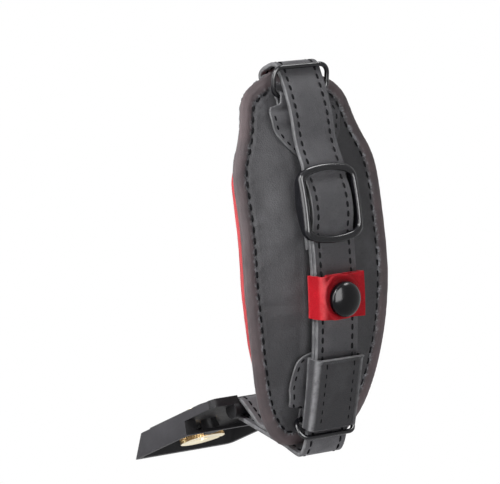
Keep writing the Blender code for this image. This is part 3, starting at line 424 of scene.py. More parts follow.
def rubber_finish(name, colour):
    """Ribbed rubber with a dusty face."""
    made = Finish(name)
    ribs = made.bands(210.0, "Y")
    dust = made.noise(700.0, 5.0, 0.7)
    tone = made.mix(dust.step(0.5, 0.75) * 0.5, colour, shade(colour, 2.4))
    normal = made.bump(dust, 0.00005, 0.6, made.bump(ribs.step(0.2, 0.8), 0.0003))
    return made.set(Base_Color=tone, Roughness=0.80 + (dust - 0.5) * 0.15, Normal=normal)


def turned_finish(name, colour, roughness, tarnish):
    """Turned metal: tool rings about the screw's axis, tarnish and small dents."""
    made = Finish(name)
    place = made.mapped(Location=(0.0, -SCREW_Y, 0.0))
    apart = made.node("ShaderNodeSeparateXYZ", {}, {"Vector": place}, "X")
    other = Value(made, apart.socket.node.outputs["Y"])
    rings = ((apart * apart + other * other) ** 0.5 * 16000.0).math("SINE")
    spots = made.noise(420.0, 5.0, 0.68)
    cloud = made.noise(150.0)
    tone = made.mix(cloud.step(0.35, 0.7), shade(colour, 0.86), shade(colour, 1.08))
    tone = made.mix(spots.step(0.60, 0.80) * 0.6, tone, tarnish)
    normal = made.bump(spots, 0.00004, 0.5, made.bump(rings, 0.000006, 0.6))
    return made.set(Base_Color=tone, Metallic=1.0, Normal=normal,
                    Roughness=roughness + (spots - 0.5) * 0.25 + rings * 0.03)


def foam_finish(name, colour):
    """Open-cell foam."""
    made = Finish(name)
    pores = made.cells(900.0, "F1")
    tone = made.mix(pores.step(0.1, 0.7), shade(colour, 0.4), shade(colour, 1.2))
    return made.set(Base_Color=tone, Roughness=0.9 + pores * 0.05, Normal=made.bump(pores, 0.0003))


def make_finishes(colours):
    black, red, cloth, plate, brass = (tuple(getattr(colours, name)) for name in colours.__annotations__)
    made = {
        "cover": cover_finish("pad_cover_leather", black, 0.42),
        # The belts and tabs use the black leather painted 1.55 times lighter, and the sleeve 0.8 times as
        # dark: painted light and painted shade on one leather.
        "belt": leather_finish("belt_leather", shade(black, 1.55), 0.40, 1300.0, 0.00005),
        # The last colours of the sleeve and keeper paint their folds: rubbed leather together with a painted
        # highlight.
        "sleeve": band_finish("sleeve_leather", shade(black, 0.80), 0.44, (0.26, 0.26, 0.27)),
        "keeper": band_finish("keeper_leather", red, 0.40, (0.62, 0.07, 0.08)),
        "keeper_edge": edge_finish("keeper_cut_edge", shade(red, 0.8), 0.5),
        "edge": edge_finish("painted_cut_edge", (0.105, 0.105, 0.11), 0.55),
        "thread": thread_finish("black_thread", (0.004, 0.004, 0.005)),
        "lining": lining_finish("red_lining_cloth", cloth),
        "enamel": enamel_finish("ring_enamel", (0.006, 0.006, 0.008), 0.16, 0.28),
        "casting": enamel_finish("buckle_enamel", (0.008, 0.008, 0.010), 0.19, 0.26),
        "gloss": enamel_finish("cap_gloss_lacquer", (0.002, 0.002, 0.003), 0.19, 0.15),
        "plastic": plastic_finish("plate_plastic", plate),
        # The plate's bevels take this plastic painted 2.6 times paler: a painted highlight along its rims.
        "plastic_edge_highlight": plastic_finish("plate_rubbed_edge", shade(plate, 2.6)),
        # The hollow and the underside of the lip take this plastic painted 0.3 times as dark: painted shade
        # in the recess.
        "plastic_hollow_shade": plastic_finish("plate_hollow", shade(plate, 0.30)),
        # The knurled rim of the screw head is a darker brown brass: painted shade in the knurl.
        "brass_shaded_edge": turned_finish("brass_knurl", (0.42, 0.28, 0.13), 0.48, (0.12, 0.07, 0.03)),
        "rubber": rubber_finish("grip_rubber", (0.020, 0.020, 0.021)),
        "brass": turned_finish("turned_brass", brass, 0.36, (0.30, 0.19, 0.08)),
        "steel": turned_finish("plated_steel", (0.60, 0.60, 0.61), 0.26, (0.30, 0.29, 0.28)),
        "nylon": plastic_finish("washer_nylon", (0.68, 0.68, 0.66)),
        "foam": foam_finish("pad_foam_cells", (0.22, 0.22, 0.23)),
    }
    for name, finish in made.items():
        FINISHES[name] = finish.material


def polar(radius, degrees, x=0.0):
    angle = math.radians(degrees)
    return Vector((x, BEND_Y - radius * math.cos(angle), BEND_Z - radius * math.sin(angle)))


def angle_of(length, radius=PAD_CROWN_RADIUS):
    return math.degrees(length / radius)


def ease(value):
    value = np.clip(value, 0.0, 1.0)
    return value * value * (3.0 - 2.0 * value)


def smooth_path(knots, steps):
    """Points of a Catmull-Rom curve through the knots."""
    points = []
    ends = [2 * knots[0] - knots[1], *knots, 2 * knots[-1] - knots[-2]]
    for index in range(1, len(ends) - 2):
        before, start, end, after = ends[index - 1:index + 3]
        for step in range(steps):
            t = step / steps
            points.append(0.5 * (2 * start + (end - before) * t
                                 + (2 * before - 5 * start + 4 * end - after) * t ** 2
                                 + (3 * start - before - 3 * end + after) * t ** 3))
    points.append(knots[-1].copy())
    return points


def resample(points, step):
    """Points at equal distances along a line, with the distance of each."""
    line = np.array([tuple(point) for point in points], float)
    gaps = np.linalg.norm(np.diff(line, axis=0), axis=1)
    keep = np.concatenate(([True], gaps > 1e-9))
    line = line[keep]
    run = np.concatenate(([0.0], np.cumsum(gaps[gaps > 1e-9])))
    count = max(2, int(round(run[-1] / step)) + 1)
    places = np.linspace(0.0, run[-1], count)
    return np.column_stack([np.interp(places, run, line[:, axis]) for axis in range(3)]), places


def soften(line, passes):
    """Rounds small kinks of a line without moving its ends."""
    for _ in range(passes):
        line[1:-1] = (line[:-2] + 2 * line[1:-1] + line[2:]) / 4
    return line


def run_of(line):
    """How far along a line each of its points lies."""
    return np.concatenate(([0.0], np.cumsum(np.linalg.norm(np.diff(line, axis=0), axis=1))))


def resample_flat(outline, step):
    """Points at equal distances along a line in a plane, with the distance of each."""
    line, run = resample(np.column_stack([outline, np.zeros(len(outline))]), step)
    return line[:, :2], run


def place_on(data, run, where):
    """The point, or normal, at a distance along a line."""
    return np.array([np.interp(where, run, data[:, axis]) for axis in range(3)])


def outline_curve(knots, steps):
    """Places along, and half widths, of a smooth outline through (along, half width) knots."""
    path = smooth_path([Vector((*knot, 0.0)) for knot in knots], steps)
    curve = np.array([tuple(point) for point in path])
    order = np.argsort(curve[:, 0], kind="stable")
    return curve[order, 0], curve[order, 1]


def half_width_at(along):
    """Half the pad's width, smoothed between the knots of its outline."""
    return np.interp(along, *outline_curve(PAD_SHAPE, 8))


def crown_at(along, across):
    """How far the foam raises the pad above its border."""
    half = half_width_at(along)
    from_end = np.minimum((along - PAD_BORDER) / 0.028, (PAD_LENGTH - along - PAD_BORDER) / 0.046)
    from_side = (half - np.abs(across) - PAD_BORDER) / 0.018
    inside = (from_end > 0) & (from_side > 0)
    end = np.where(inside, np.maximum(from_end, 1e-4), 1.0)
    side = np.where(inside, np.maximum(from_side, 1e-4), 1.0)
    return np.where(inside, PAD_CROWN * ease((end ** -4.0 + side ** -4.0) ** -0.25), 0.0)


def base_radius_at(along, across):
    """The border's level: lower at the sides, bent at both ends."""
    sag = PAD_SAG * (across / PAD_HALF_WIDTH) ** 2
    lift = 0.0015 * ease(1 - along / 0.035)
    drop = 0.0011 * ease(1 - (PAD_LENGTH - along) / 0.060)
    return PAD_BASE_RADIUS - sag + lift - drop


def cover_radius(degrees):
    along = math.radians(degrees - PAD_START_ANGLE) * PAD_CROWN_RADIUS
    return float(base_radius_at(along, 0.0) + crown_at(np.array(along), np.array(0.0)))


def bend_points(radius, along, across):
    """World places of points of the pad, given by arrays."""
    angle = np.radians(PAD_START_ANGLE) + along / PAD_CROWN_RADIUS
    return np.column_stack([across, BEND_Y - radius * np.cos(angle), BEND_Z - radius * np.sin(angle)])


def new_piece(name, points, faces, finishes, marks=None, degrees=40.0):
    """An object at the origin from points and faces; marks gives each face its finish."""
    mesh = bpy.data.meshes.new(name)
    mesh.from_pydata([tuple(point) for point in points], [], [tuple(face) for face in faces])
    mesh.validate()
    made = bpy.data.objects.new(name, mesh)
    bpy.context.scene.collection.objects.link(made)
    for finish in finishes:
        mesh.materials.append(FINISHES[finish])
    if marks is not None:
        mesh.polygons.foreach_set("material_index", np.array(marks, np.int32))
    outward(made)
    mesh.shade_smooth()
    mesh.set_sharp_from_angle(angle=math.radians(degrees))
    return made


def outward(made):
    shape = bmesh.new()
    shape.from_mesh(made.data)
    bmesh.ops.recalc_face_normals(shape, faces=shape.faces)
    shape.to_mesh(made.data)
    shape.free()


def only(made):
    bpy.ops.object.select_all(action="DESELECT")
    made.select_set(True)
    bpy.context.view_layer.objects.active = made


def apply_all(made):
    only(made)
    for modifier in list(made.modifiers):
        bpy.ops.object.modifier_apply(modifier=modifier.name)


def fresh(add, **settings):
    """The mesh that one of Blender's own operators adds."""
    bpy.ops.object.select_all(action="DESELECT")
    add(**settings)
    return bpy.context.active_object


def dress(piece, slot, body, *nodes):
    """Attaches a piece to the body it rides on and hides the CAD nodes it replaces; slot is not used."""
    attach(piece, body)
    if nodes:
        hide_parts(*nodes)


def mark_points(made, name, amounts):
    """Stores a number at each point for the finishes to read."""
    stored = made.data.attributes.new(name, "FLOAT", "POINT")
    stored.data.foreach_set("value", amounts.astype(np.float32))


def thicken(made, thickness, offset, even):
    wall = made.modifiers.new("Thickness", "SOLIDIFY")
    wall.thickness = thickness
    wall.offset = offset
    wall.use_even_offset = even
    wall.material_offset_rim = 1


def cut_with(made, cutter):
    cut = made.modifiers.new("Cut", "BOOLEAN")
    cut.operation = "DIFFERENCE"
    cut.solver = "EXACT"
    cut.object = cutter


def choose_faces(made, wanted):
    """In edit mode, selects the faces that a test accepts."""
    shape = bmesh.from_edit_mesh(made.data)
    for face in shape.faces:
        face.select = wanted(face)
    bmesh.update_edit_mesh(made.data)


def grow(height):
    """In edit mode, extrudes the selected faces upwards."""
    bpy.ops.mesh.extrude_region_move(TRANSFORM_OT_translate={"value": (0, 0, height)})


def settle(made, name, finish, degrees=35.0):
    """Names a piece made with operators, applies its place and shades it."""
    only(made)
    bpy.ops.object.transform_apply(location=True, rotation=True, scale=True)
    made.name = name
    made.data.name = name
    made.data.materials.clear()
    made.data.materials.append(FINISHES[finish])
    outward(made)
    bpy.ops.object.shade_smooth_by_angle(angle=math.radians(degrees))
    return made


def join(name, pieces):
    bpy.ops.object.select_all(action="DESELECT")
    for piece in pieces:
        piece.select_set(True)
    bpy.context.view_layer.objects.active = pieces[0]
    if len(pieces) > 1:
        bpy.ops.object.join()
    pieces[0].name = name
    pieces[0].data.name = name
    return pieces[0]


def solid_copy(node):
    """A merged copy of a CAD node that can be worked on further."""
    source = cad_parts[node]
    made = bpy.data.objects.new(node + "_copy", source.data.copy())
    bpy.context.scene.collection.objects.link(made)
    shape = bmesh.new()
    shape.from_mesh(made.data)
    bmesh.ops.remove_doubles(shape, verts=shape.verts, dist=0.00001)
    bmesh.ops.dissolve_limit(shape, angle_limit=math.radians(1.0), verts=shape.verts, edges=shape.edges)
    bmesh.ops.recalc_face_normals(shape, faces=shape.faces)
    shape.to_mesh(made.data)
    shape.free()
    return made


def bevelled(made, width, segments=2, degrees=30.0):
    edge = made.modifiers.new("Edge", "BEVEL")
    edge.width = width
    edge.segments = segments
    edge.limit_method = "ANGLE"
    edge.angle_limit = math.radians(degrees)
    edge.use_clamp_overlap = True
    edge.harden_normals = False
    return made


def belt_profile(width, thickness, row, depth, crease=True):
    """Cross-section of a belt: (across, level, groove share) round its outline."""
    half = width / 2
    turn = min(0.00055, thickness * 0.45)
    across = [0.0, 0.2 * half, 0.45 * half]
    if row:
        across += [row - 0.0011, row - 0.0006, row - 0.0003, row, row + 0.0003, row + 0.0006]
    if crease:
        across += [half - 0.00165, half - 0.00135, half - 0.00105]
    across += [half - turn * share for share in (1.0, 0.6, 0.3, 0.1, 0.0)]
    across = sorted(set(round(value, 7) for value in across if 0 <= value <= half))
    upper = []
    for value in across:
        level = thickness / 2
        over = value - (half - turn)
        if over > 0:
            level -= turn * (1 - math.sqrt(max(0.0, 1 - (over / turn) ** 2)))
        groove = 0.0
        if row:
            groove = depth * math.exp(-((value - row) / 0.00060) ** 2)
        if crease:
            level -= 0.00007 * math.exp(-((value - half + 0.00135) / 0.00016) ** 2)
        upper.append((value, level, groove))
    right = upper + [(value, -level, groove) for value, level, groove in reversed(upper)]
    left = [(-value, level, groove) for value, level, groove in reversed(right) if value > 0]
    return right + left


def swept_strip(name, line, normals, halves, profile, width, finishes, pitch=0.0):
    """Sweeps a cross-section along a line; each station has its own half width."""
    points = []
    section = np.array(profile)
    count = len(line)
    run = run_of(line)
    for index in range(count):
        share = halves[index] / (width / 2)
        near_end = min(index, count - 1 - index)
        thin = (0.55, 0.86, 0.97)[near_end] if near_end < 3 else 1.0
        wave = 0.58 - 0.42 * math.cos(2 * math.pi * run[index] / pitch) if pitch else 1.0
        level = section[:, 1] - np.sign(section[:, 1]) * section[:, 2] * wave
        place = line[index] + (level * thin)[:, None] * normals[index]
        place[:, 0] += section[:, 0] * share
        points.append(place)
    size = len(profile)
    faces = []
    marks = []
    rim = width / 2 - 0.00042
    for index in range(count - 1):
        for corner in range(size):
            after = (corner + 1) % size
            faces.append((index * size + corner, index * size + after,
                          (index + 1) * size + after, (index + 1) * size + corner))
            cut = abs(section[corner, 0]) > rim and abs(section[after, 0]) > rim
            marks.append(1 if cut or index < 1 or index > count - 3 else 0)
    faces.append(tuple(range(size)))
    faces.append(tuple((count - 1) * size + corner for corner in reversed(range(size))))
    marks += [1, 1]
    return new_piece(name, np.concatenate(points), faces, finishes, marks, 50.0)


def line_normals(line):
    """Normals of a line in the YZ plane, to the left of its run seen from +X."""
    along = np.gradient(line, axis=0)
    along /= np.linalg.norm(along, axis=1)[:, None]
    return np.column_stack([np.zeros(len(line)), -along[:, 2], along[:, 1]])


def stitch_form(length, radius):
    """One stitch about the origin, long in X: (points, faces)."""
    bead = fresh(bpy.ops.mesh.primitive_uv_sphere_add, segments=10, ring_count=8, radius=1.0)
    points = np.array([tuple(vert.co) for vert in bead.data.vertices])
    faces = [tuple(face.vertices) for face in bead.data.polygons]
    bpy.data.objects.remove(bead)
    along = points[:, 2]
    swell = np.sqrt(np.clip(1 - np.abs(along) ** 5, 0.0, 1.0)) / np.maximum(
        np.sqrt(np.clip(1 - along ** 2, 1e-6, 1.0)), 1e-3)
    made = np.column_stack([along * length / 2, points[:, 0] * swell * radius * 1.45,
                            points[:, 1] * swell * radius - 0.55 * radius * along ** 2])
    return made, faces


def stitch_row(name, line, normals, pitch, dash, radius, skip=None, start=0.5):
    """Copies one stitch along a line, each lying on the surface."""
    form, form_faces = stitch_form(dash, radius)
    run = run_of(line)
    points = []
    faces = []
    for index in range(int(run[-1] / pitch)):
        place = (index + start) * pitch
        centre = place_on(line, run, place)
        if skip is not None and skip(centre):
            continue
        along = place_on(line, run, place + dash / 2) - place_on(line, run, place - dash / 2)
        along /= np.linalg.norm(along)
        normal = place_on(normals, run, place)
        normal -= along * (normal @ along)
        normal /= np.linalg.norm(normal)
        base = len(form) * len(points)
        points.append(centre + form @ np.array([along, np.cross(normal, along), normal]))
        faces += [tuple(base + corner for corner in face) for face in form_faces]
    return new_piece(name, np.concatenate(points), faces, ["thread"], None, 80.0)


def pad_outline():
    along = np.concatenate([np.linspace(0, 0.012, 30), np.linspace(0.013, 0.148, 120),
                            np.linspace(0.1485, PAD_LENGTH, 30)])
    half = half_width_at(along)
    return np.vstack([np.column_stack([half, along]), np.column_stack([-half[::-1], along[::-1]])])


def edge_line(step):
    """The pad's closed edge, flat."""
    outline = pad_outline()
    return resample_flat(np.vstack([outline, outline[:1]]), step)[0]


def seam_line(inset, step):
    """A closed line inside the pad's edge, at a set distance, with the run of its points."""
    dense = edge_line(0.0006)[:-1]
    along = np.roll(dense, -1, axis=0) - np.roll(dense, 1, axis=0)
    along /= np.linalg.norm(along, axis=1)[:, None]
    area = np.sum(dense[:, 0] * np.roll(dense[:, 1], -1) - np.roll(dense[:, 0], -1) * dense[:, 1])
    side = np.column_stack([-along[:, 1], along[:, 0]]) * (1 if area > 0 else -1)
    moved = dense + side * inset
    gaps = np.min(np.linalg.norm(moved[:, None, :] - dense[None, :, :], axis=2), axis=1)
    moved = moved[gaps > inset * 0.97]
    for _ in range(12):
        moved = (np.roll(moved, 1, axis=0) + 2 * moved + np.roll(moved, -1, axis=0)) / 4
    return resample_flat(np.vstack([moved, moved[:1]]), step)


def distance_to(points, line):
    """Distance of each point from a dense line, and the index of its nearest point."""
    nearest = np.empty(len(points), int)
    apart = np.empty(len(points))
    for start in range(0, len(points), 4000):
        block = points[start:start + 4000]
        gaps = np.linalg.norm(block[:, None, :] - line[None, :, :], axis=2)
        nearest[start:start + 4000] = gaps.argmin(axis=1)
        apart[start:start + 4000] = gaps.min(axis=1)
    return apart, nearest


def pad_grid(rows, columns):
    """Rows along the pad and shares across it, closer together near the edges."""
    even = np.linspace(0.0, 1.0, rows)
    along = PAD_LENGTH * (even - 0.35 * np.sin(2 * np.pi * even) / (2 * np.pi))
    even = np.linspace(-1.0, 1.0, columns)
    share = np.sign(even) * (1 - (1 - np.abs(even)) ** 1.25)
    return along, share


def grid_faces(rows, columns):
    return [(row * columns + column, row * columns + column + 1,
             (row + 1) * columns + column + 1, (row + 1) * columns + column)
            for row in range(rows - 1) for column in range(columns - 1)]


def swell_of_cover(along, across, most):
    """How far a pressed, sewn cover moves outwards, from a cloth simulation."""
    rows, columns = 56, 30
    places, shares = pad_grid(rows, columns)
    lengths = np.repeat(places, columns)
    wide = np.tile(shares, rows) * half_width_at(lengths)
    points = bend_points(base_radius_at(lengths, wide) + crown_at(lengths, wide), lengths, wide)
    mesh = bpy.data.meshes.new("cover_sheet")
    mesh.from_pydata([tuple(point) for point in points], [], grid_faces(rows, columns))
    sheet = bpy.data.objects.new("cover_sheet", mesh)
    bpy.context.scene.collection.objects.link(sheet)
    flat = np.column_stack([wide, lengths])
    from_seam, _ = distance_to(flat, seam_line(PAD_SEAM_INSET, 0.001)[0])
    from_edge, _ = distance_to(flat, edge_line(0.001))
    sewn = np.flatnonzero((from_edge < PAD_SEAM_INSET + 0.001) | (from_seam < 0.001))
    sheet.vertex_groups.new(name="sewn").add(sewn.tolist(), 1.0, "REPLACE")
    cloth = sheet.modifiers.new("Cloth", "CLOTH")
    for key, value in CLOTH.items():
        setattr(cloth.settings, key, value)
    cloth.settings.effector_weights.gravity = 0.0
    cloth.collision_settings.use_collision = False
    scene = bpy.context.scene
    for step in range(1, 21):
        scene.frame_set(step)
    apply_all(sheet)
    scene.frame_set(1)
    moved = np.array([tuple(vert.co) for vert in sheet.data.vertices])
    turn = np.radians(PAD_START_ANGLE) + lengths / PAD_CROWN_RADIUS
    out = np.column_stack([np.zeros(len(turn)), -np.cos(turn), -np.sin(turn)])
    rise = np.einsum("ij,ij->i", moved - points, out)
    bpy.data.objects.remove(sheet)
    if len(rise) != rows * columns or not np.all(np.isfinite(rise)):
        raise RuntimeError("the cover's cloth simulation gave no usable shape")
    largest = max(np.abs(rise).max(), 1e-6)
    if largest > most:
        rise = rise * most / largest
    rise = rise.reshape(rows, columns)
    share = across / np.maximum(half_width_at(along), 1e-6)
    at_row = np.interp(along, places, np.arange(rows))
    at_column = np.interp(share, shares, np.arange(columns))
    low_row = np.clip(np.floor(at_row).astype(int), 0, rows - 2)
    low_column = np.clip(np.floor(at_column).astype(int), 0, columns - 2)
    down = at_row - low_row
    right = at_column - low_column
    return ((1 - down) * (1 - right) * rise[low_row, low_column]
            + (1 - down) * right * rise[low_row, low_column + 1]
            + down * (1 - right) * rise[low_row + 1, low_column]
            + down * right * rise[low_row + 1, low_column + 1])


def ripple(along, across, seed):
    """A smooth, fixed unevenness between -1 and 1."""
    value = np.sin(along * 210 + seed) * np.sin(across * 160 + seed * 2.1)
    value = value + 0.6 * np.sin(along * 430 + across * 260 + seed * 0.7)
    value = value + 0.4 * np.sin(along * 780 - across * 610 + seed * 1.9)
    return value / 2.0


def covered_by_stack(across):
    """1 under the belts, tabs and buckle, where the cover is pressed flat."""
    return ease((0.0135 - np.abs(across)) / 0.004)


def make_cover_sheet(sizes):
    rows, columns = 190, 96
    places, shares = pad_grid(rows, columns)
    along = np.repeat(places, columns)
    across = np.tile(shares, rows) * half_width_at(along)
    flat = np.column_stack([across, along])
    seam, run = seam_line(sizes.border, 0.0005)
    from_seam, nearest = distance_to(flat, seam)
    from_edge, _ = distance_to(flat, edge_line(0.0006))
    free = 1 - covered_by_stack(across)
    radius = base_radius_at(along, across) + crown_at(along, across)
    if sizes.pad_swell > 0:
        radius = radius + swell_of_cover(along, across, sizes.pad_swell) * free
    phase = run[nearest] / sizes.border_pitch * 2 * np.pi
    inside = from_edge > sizes.border
    groove = 0.00050 * np.exp(-(from_seam / 0.0008) ** 2)
    pucker = 0.00016 * np.cos(phase) * np.exp(-(from_seam / 0.0026) ** 2)
    roll = 0.00045 * np.exp(-((from_edge - 0.0030) / 0.0019) ** 2)
    uneven = ripple(along, across, 0.4) * np.where(inside, 0.00007, 0.00016) * ease(from_edge / 0.002)
    edge_turn = 0.0004 * (1 - ease(from_edge / 0.0009))
    radius = radius + free * (roll - groove - pucker + uneven) - edge_turn
    cover = new_piece("stitched_pad_cover", bend_points(radius, along, across), grid_faces(rows, columns),
                      ["cover", "edge"], None, 60.0)
    mark_points(cover, "margin", ease((from_seam - 0.0004) / 0.0012) * ~inside)
    # The seam mark places the seam's scuffs and its painted highlight.
    mark_points(cover, "seam", np.exp(-((from_seam - 0.0009) / 0.0008) ** 2) * ~inside)
    face = cover.data.polygons[rows * columns // 2]
    if face.normal.dot(face.center - polar(0.0, 17.0)) < 0:
        cover.data.flip_normals()
    thicken(cover, COVER_THICKNESS, -1.0, False)
    apply_all(cover)
    dress(cover, "black_leather", "strap", "pad_cover")
    seam_across, seam_along = seam[:, 0], seam[:, 1]
    level = base_radius_at(seam_along, seam_across) + crown_at(seam_along, seam_across)
    line = bend_points(level - 0.00018, seam_along, seam_across)
    turn = np.radians(PAD_START_ANGLE) + seam_along / PAD_CROWN_RADIUS
    lean = 2 * PAD_SAG * seam_across / PAD_HALF_WIDTH ** 2
    normals = np.column_stack([lean, -np.cos(turn), -np.sin(turn)])
    normals /= np.linalg.norm(normals, axis=1)[:, None]
    stitches = stitch_row("pad_border_stitches", line, normals, sizes.border_pitch, PAD_STITCH_LENGTH,
                          sizes.thread_radius * 0.95, lambda centre: abs(centre[0]) < 0.0118, 0.0)
    dress(stitches, "black_leather", "strap")


class STRAP_OT_pad(bpy.types.Operator):
    """Builds the padded cover with its sewn border"""
    bl_idname = "hand_strap.pad"
    bl_label = "Pad cover"

    def execute(self, context):
        make_cover_sheet(context.scene.hand_strap_sizes)
        return {"FINISHED"}


class STRAP_OT_lining(bpy.types.Operator):
    """Builds the soft red lining on the hand's side"""
    bl_idname = "hand_strap.lining"
    bl_label = "Lining"

    def execute(self, context):
        rows, columns = 120, 60
        places, shares = pad_grid(rows, columns)
        along = np.repeat(places, columns)
        share = np.tile(shares, rows)
        inset = 0.0006 + 0.0024 * ease(1 - (along - 0.030) / 0.016) + 0.0018 * ease((along - 0.112) / 0.02)
        proud = 0.0004 * ease((along - 0.042) / 0.02) * ease((0.118 - along) / 0.02)
        half = np.maximum(half_width_at(along) - inset + proud, 0.004)
        lengths = 0.0008 + along * (1 - 0.0016 / PAD_LENGTH)
        across = share * half
        from_edge = np.minimum(half - np.abs(across), np.minimum(along, PAD_LENGTH - along) + 0.0002)
        top = base_radius_at(lengths, across) - COVER_THICKNESS - GAP
        body = LINING_THICKNESS - GAP
        turn = 0.0014 * (1 - np.sqrt(np.clip(1 - (1 - np.clip(from_edge / 0.0014, 0, 1)) ** 2, 0, 1)))
        quilt = 0.00012 * ripple(lengths, across, 2.0)
        outer = bend_points(top - turn, lengths, across)
        inner = bend_points(top - body + turn + quilt, lengths, across)
        size = rows * columns
        faces = grid_faces(rows, columns)
        faces += [tuple(size + corner for corner in reversed(face)) for face in faces]
        ring = list(range(columns))
        ring += [row * columns + columns - 1 for row in range(1, rows)]
        ring += [(rows - 1) * columns + column for column in reversed(range(columns - 1))]
        ring += [row * columns for row in reversed(range(1, rows - 1))]
        faces += [(start, end, size + end, size + start) for start, end in zip(ring, ring[1:] + ring[:1])]
        lining = new_piece("soft_red_lining", np.vstack([outer, inner]), faces, ["lining"], None, 60.0)
        dress(lining, "red_lining", "strap")
        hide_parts("pad_lining")
        return {"FINISHED"}


def worn_arc(radius, start, end):
    """Points on the bend, half a degree apart."""
    count = max(1, round(abs(end - start) / 0.5))
    return [polar(radius, start + (end - start) * index / count) for index in range(count + 1)]


def adjusting_line():
    half_bar = angle_of(BUCKLE_LENGTH / 2)
    top_bar = BUCKLE_ANGLE - half_bar
    low_bar = BUCKLE_ANGLE + half_bar
    on_tab = PAD_CROWN_RADIUS + TAB_THICKNESS + 2 * GAP + BELT_THICKNESS / 2
    over_ring = TOP_RING_RADIUS + TAB_LOOP_RADIUS + TAB_THICKNESS / 2 + GAP + BELT_THICKNESS / 2
    tail = worn_arc(OUTER_BELT_RADIUS, TAIL_END_ANGLE, low_bar)
    knots = [polar(*place) for place in (
        (OUTER_BELT_RADIUS, low_bar),
        (OUTER_BELT_RADIUS, low_bar - half_bar * 0.33),
        (OUTER_BELT_RADIUS + 0.0011, low_bar - half_bar * 0.58),
        (OUTER_OVER_BAR_RADIUS, BUCKLE_ANGLE + half_bar * 0.2),
        (OUTER_OVER_BAR_RADIUS, BUCKLE_ANGLE - half_bar * 0.2),
        (OUTER_BELT_RADIUS + 0.0010, top_bar + half_bar * 0.56),
        (OUTER_BELT_RADIUS, top_bar + half_bar * 0.33),
        (OUTER_BELT_RADIUS, top_bar),
        ((OUTER_BELT_RADIUS + on_tab) / 2 + 0.0004, top_bar - 1.3),
        (on_tab + 0.0014, top_bar - 2.8),
        (over_ring + 0.0006, TOP_RING_ANGLE + 2.3),
        (over_ring + 0.0006, TOP_RING_ANGLE),
        (over_ring + 0.0002, TOP_RING_ANGLE - 1.4),
        (FRONT_BELT_RADIUS, TOP_RING_FRONT_ANGLE))]
    front = knots[-1]
    knots += [front + Vector((0, across, up)) for across, up in LUG_TURN]
    lean = math.radians(22.0)
    along = Vector((0, math.sin(lean), -math.cos(lean)))
    side = Vector((0, math.cos(lean), math.sin(lean)))
    start = knots[-1] + along * 0.0065
    knots.append(start)
    fold = BELT_THICKNESS + GAP
    ring = 0.0033 + BELT_THICKNESS / 2
    centre = start + along * 0.0105 + side * fold / 2
    knots += [start + along * 0.003, start + along * 0.0052 - side * 0.0005]
    for degrees in (50, 90, 135, 180, 225, 270, 310):
        angle = math.radians(degrees)
        knots.append(centre - along * ring * math.cos(angle) - side * ring * math.sin(angle))
    back = start + side * fold
    knots += [back + along * 0.0052 + side * 0.0005, back + along * 0.003, back, back - along * 0.006]
    return tail[:-1] + smooth_path(knots, 8)


def arc_points(centre, radius, start, end, count):
    points = []
    for index in range(count + 1):
        angle = math.radians(start + (end - start) * index / count)
        points.append(centre + radius * Vector((0, math.cos(angle), math.sin(angle))))
    return points


def anchor_line():
    bar_half = angle_of(BUCKLE_BAR_WIDTH / 2, BUCKLE_BAR_RADIUS)
    path = worn_arc(RETURN_RADIUS, RETURN_END_ANGLE, BUCKLE_ANGLE + bar_half)
    turn = BUCKLE_ANGLE - bar_half
    fold = (OVER_BAR_RADIUS - RETURN_RADIUS) / 2
    path += arc_points(polar(BUCKLE_BAR_RADIUS, turn), fold, turn, turn + 180, 14)
    settled = BUCKLE_ANGLE + bar_half + 2.8
    drop = [polar(OVER_BAR_RADIUS, BUCKLE_ANGLE + bar_half),
            polar(OVER_BAR_RADIUS - 0.0007, BUCKLE_ANGLE + bar_half + 0.85),
            polar(INNER_BELT_RADIUS + 0.0002, BUCKLE_ANGLE + bar_half + 1.85),
            polar(INNER_BELT_RADIUS, settled)]
    path += smooth_path(drop, 5)[:-1]
    path += worn_arc(INNER_BELT_RADIUS, settled, FOOT_ANGLE)[:-1]
    slope = math.radians(STRAND_SLOPE)
    up = Vector((0, math.cos(slope), math.sin(slope)))
    over = Vector((0, -math.sin(slope), math.cos(slope)))
    bar = Vector((0, *STRAP_BAR))
    touch = bar - over * BAR_LOOP_RADIUS
    turn_end = touch - up * STRAND_LENGTH
    straight = STRAND_LENGTH - 0.003
    foot = polar(INNER_BELT_RADIUS, FOOT_ANGLE)
    corner = [foot, foot + Vector((0, 0.0036, -0.0040)), foot + Vector((0, 0.0076, -0.0060)),
              turn_end + Vector((0, -0.0006, -0.0010)), touch - up * straight]
    path += smooth_path(corner, 8)[:-1]
    path += [touch - up * straight * (1 - step / 12) for step in range(12)]
    last_angle = STRAND_SLOPE + 112
    path += arc_points(bar, BAR_LOOP_RADIUS, STRAND_SLOPE - 90, last_angle, 28)[:-1]
    layer = over * (BELT_THICKNESS + GAP)
    upper = [arc_points(bar, BAR_LOOP_RADIUS, last_angle, last_angle + 1, 1)[0],
             touch - up * 0.0085 + layer + over * 0.0022, touch - up * 0.0135 + layer,
             touch - up * 0.018 + layer, touch - up * STRAND_FOLD_LENGTH + layer]
    return path + smooth_path(upper, 8)


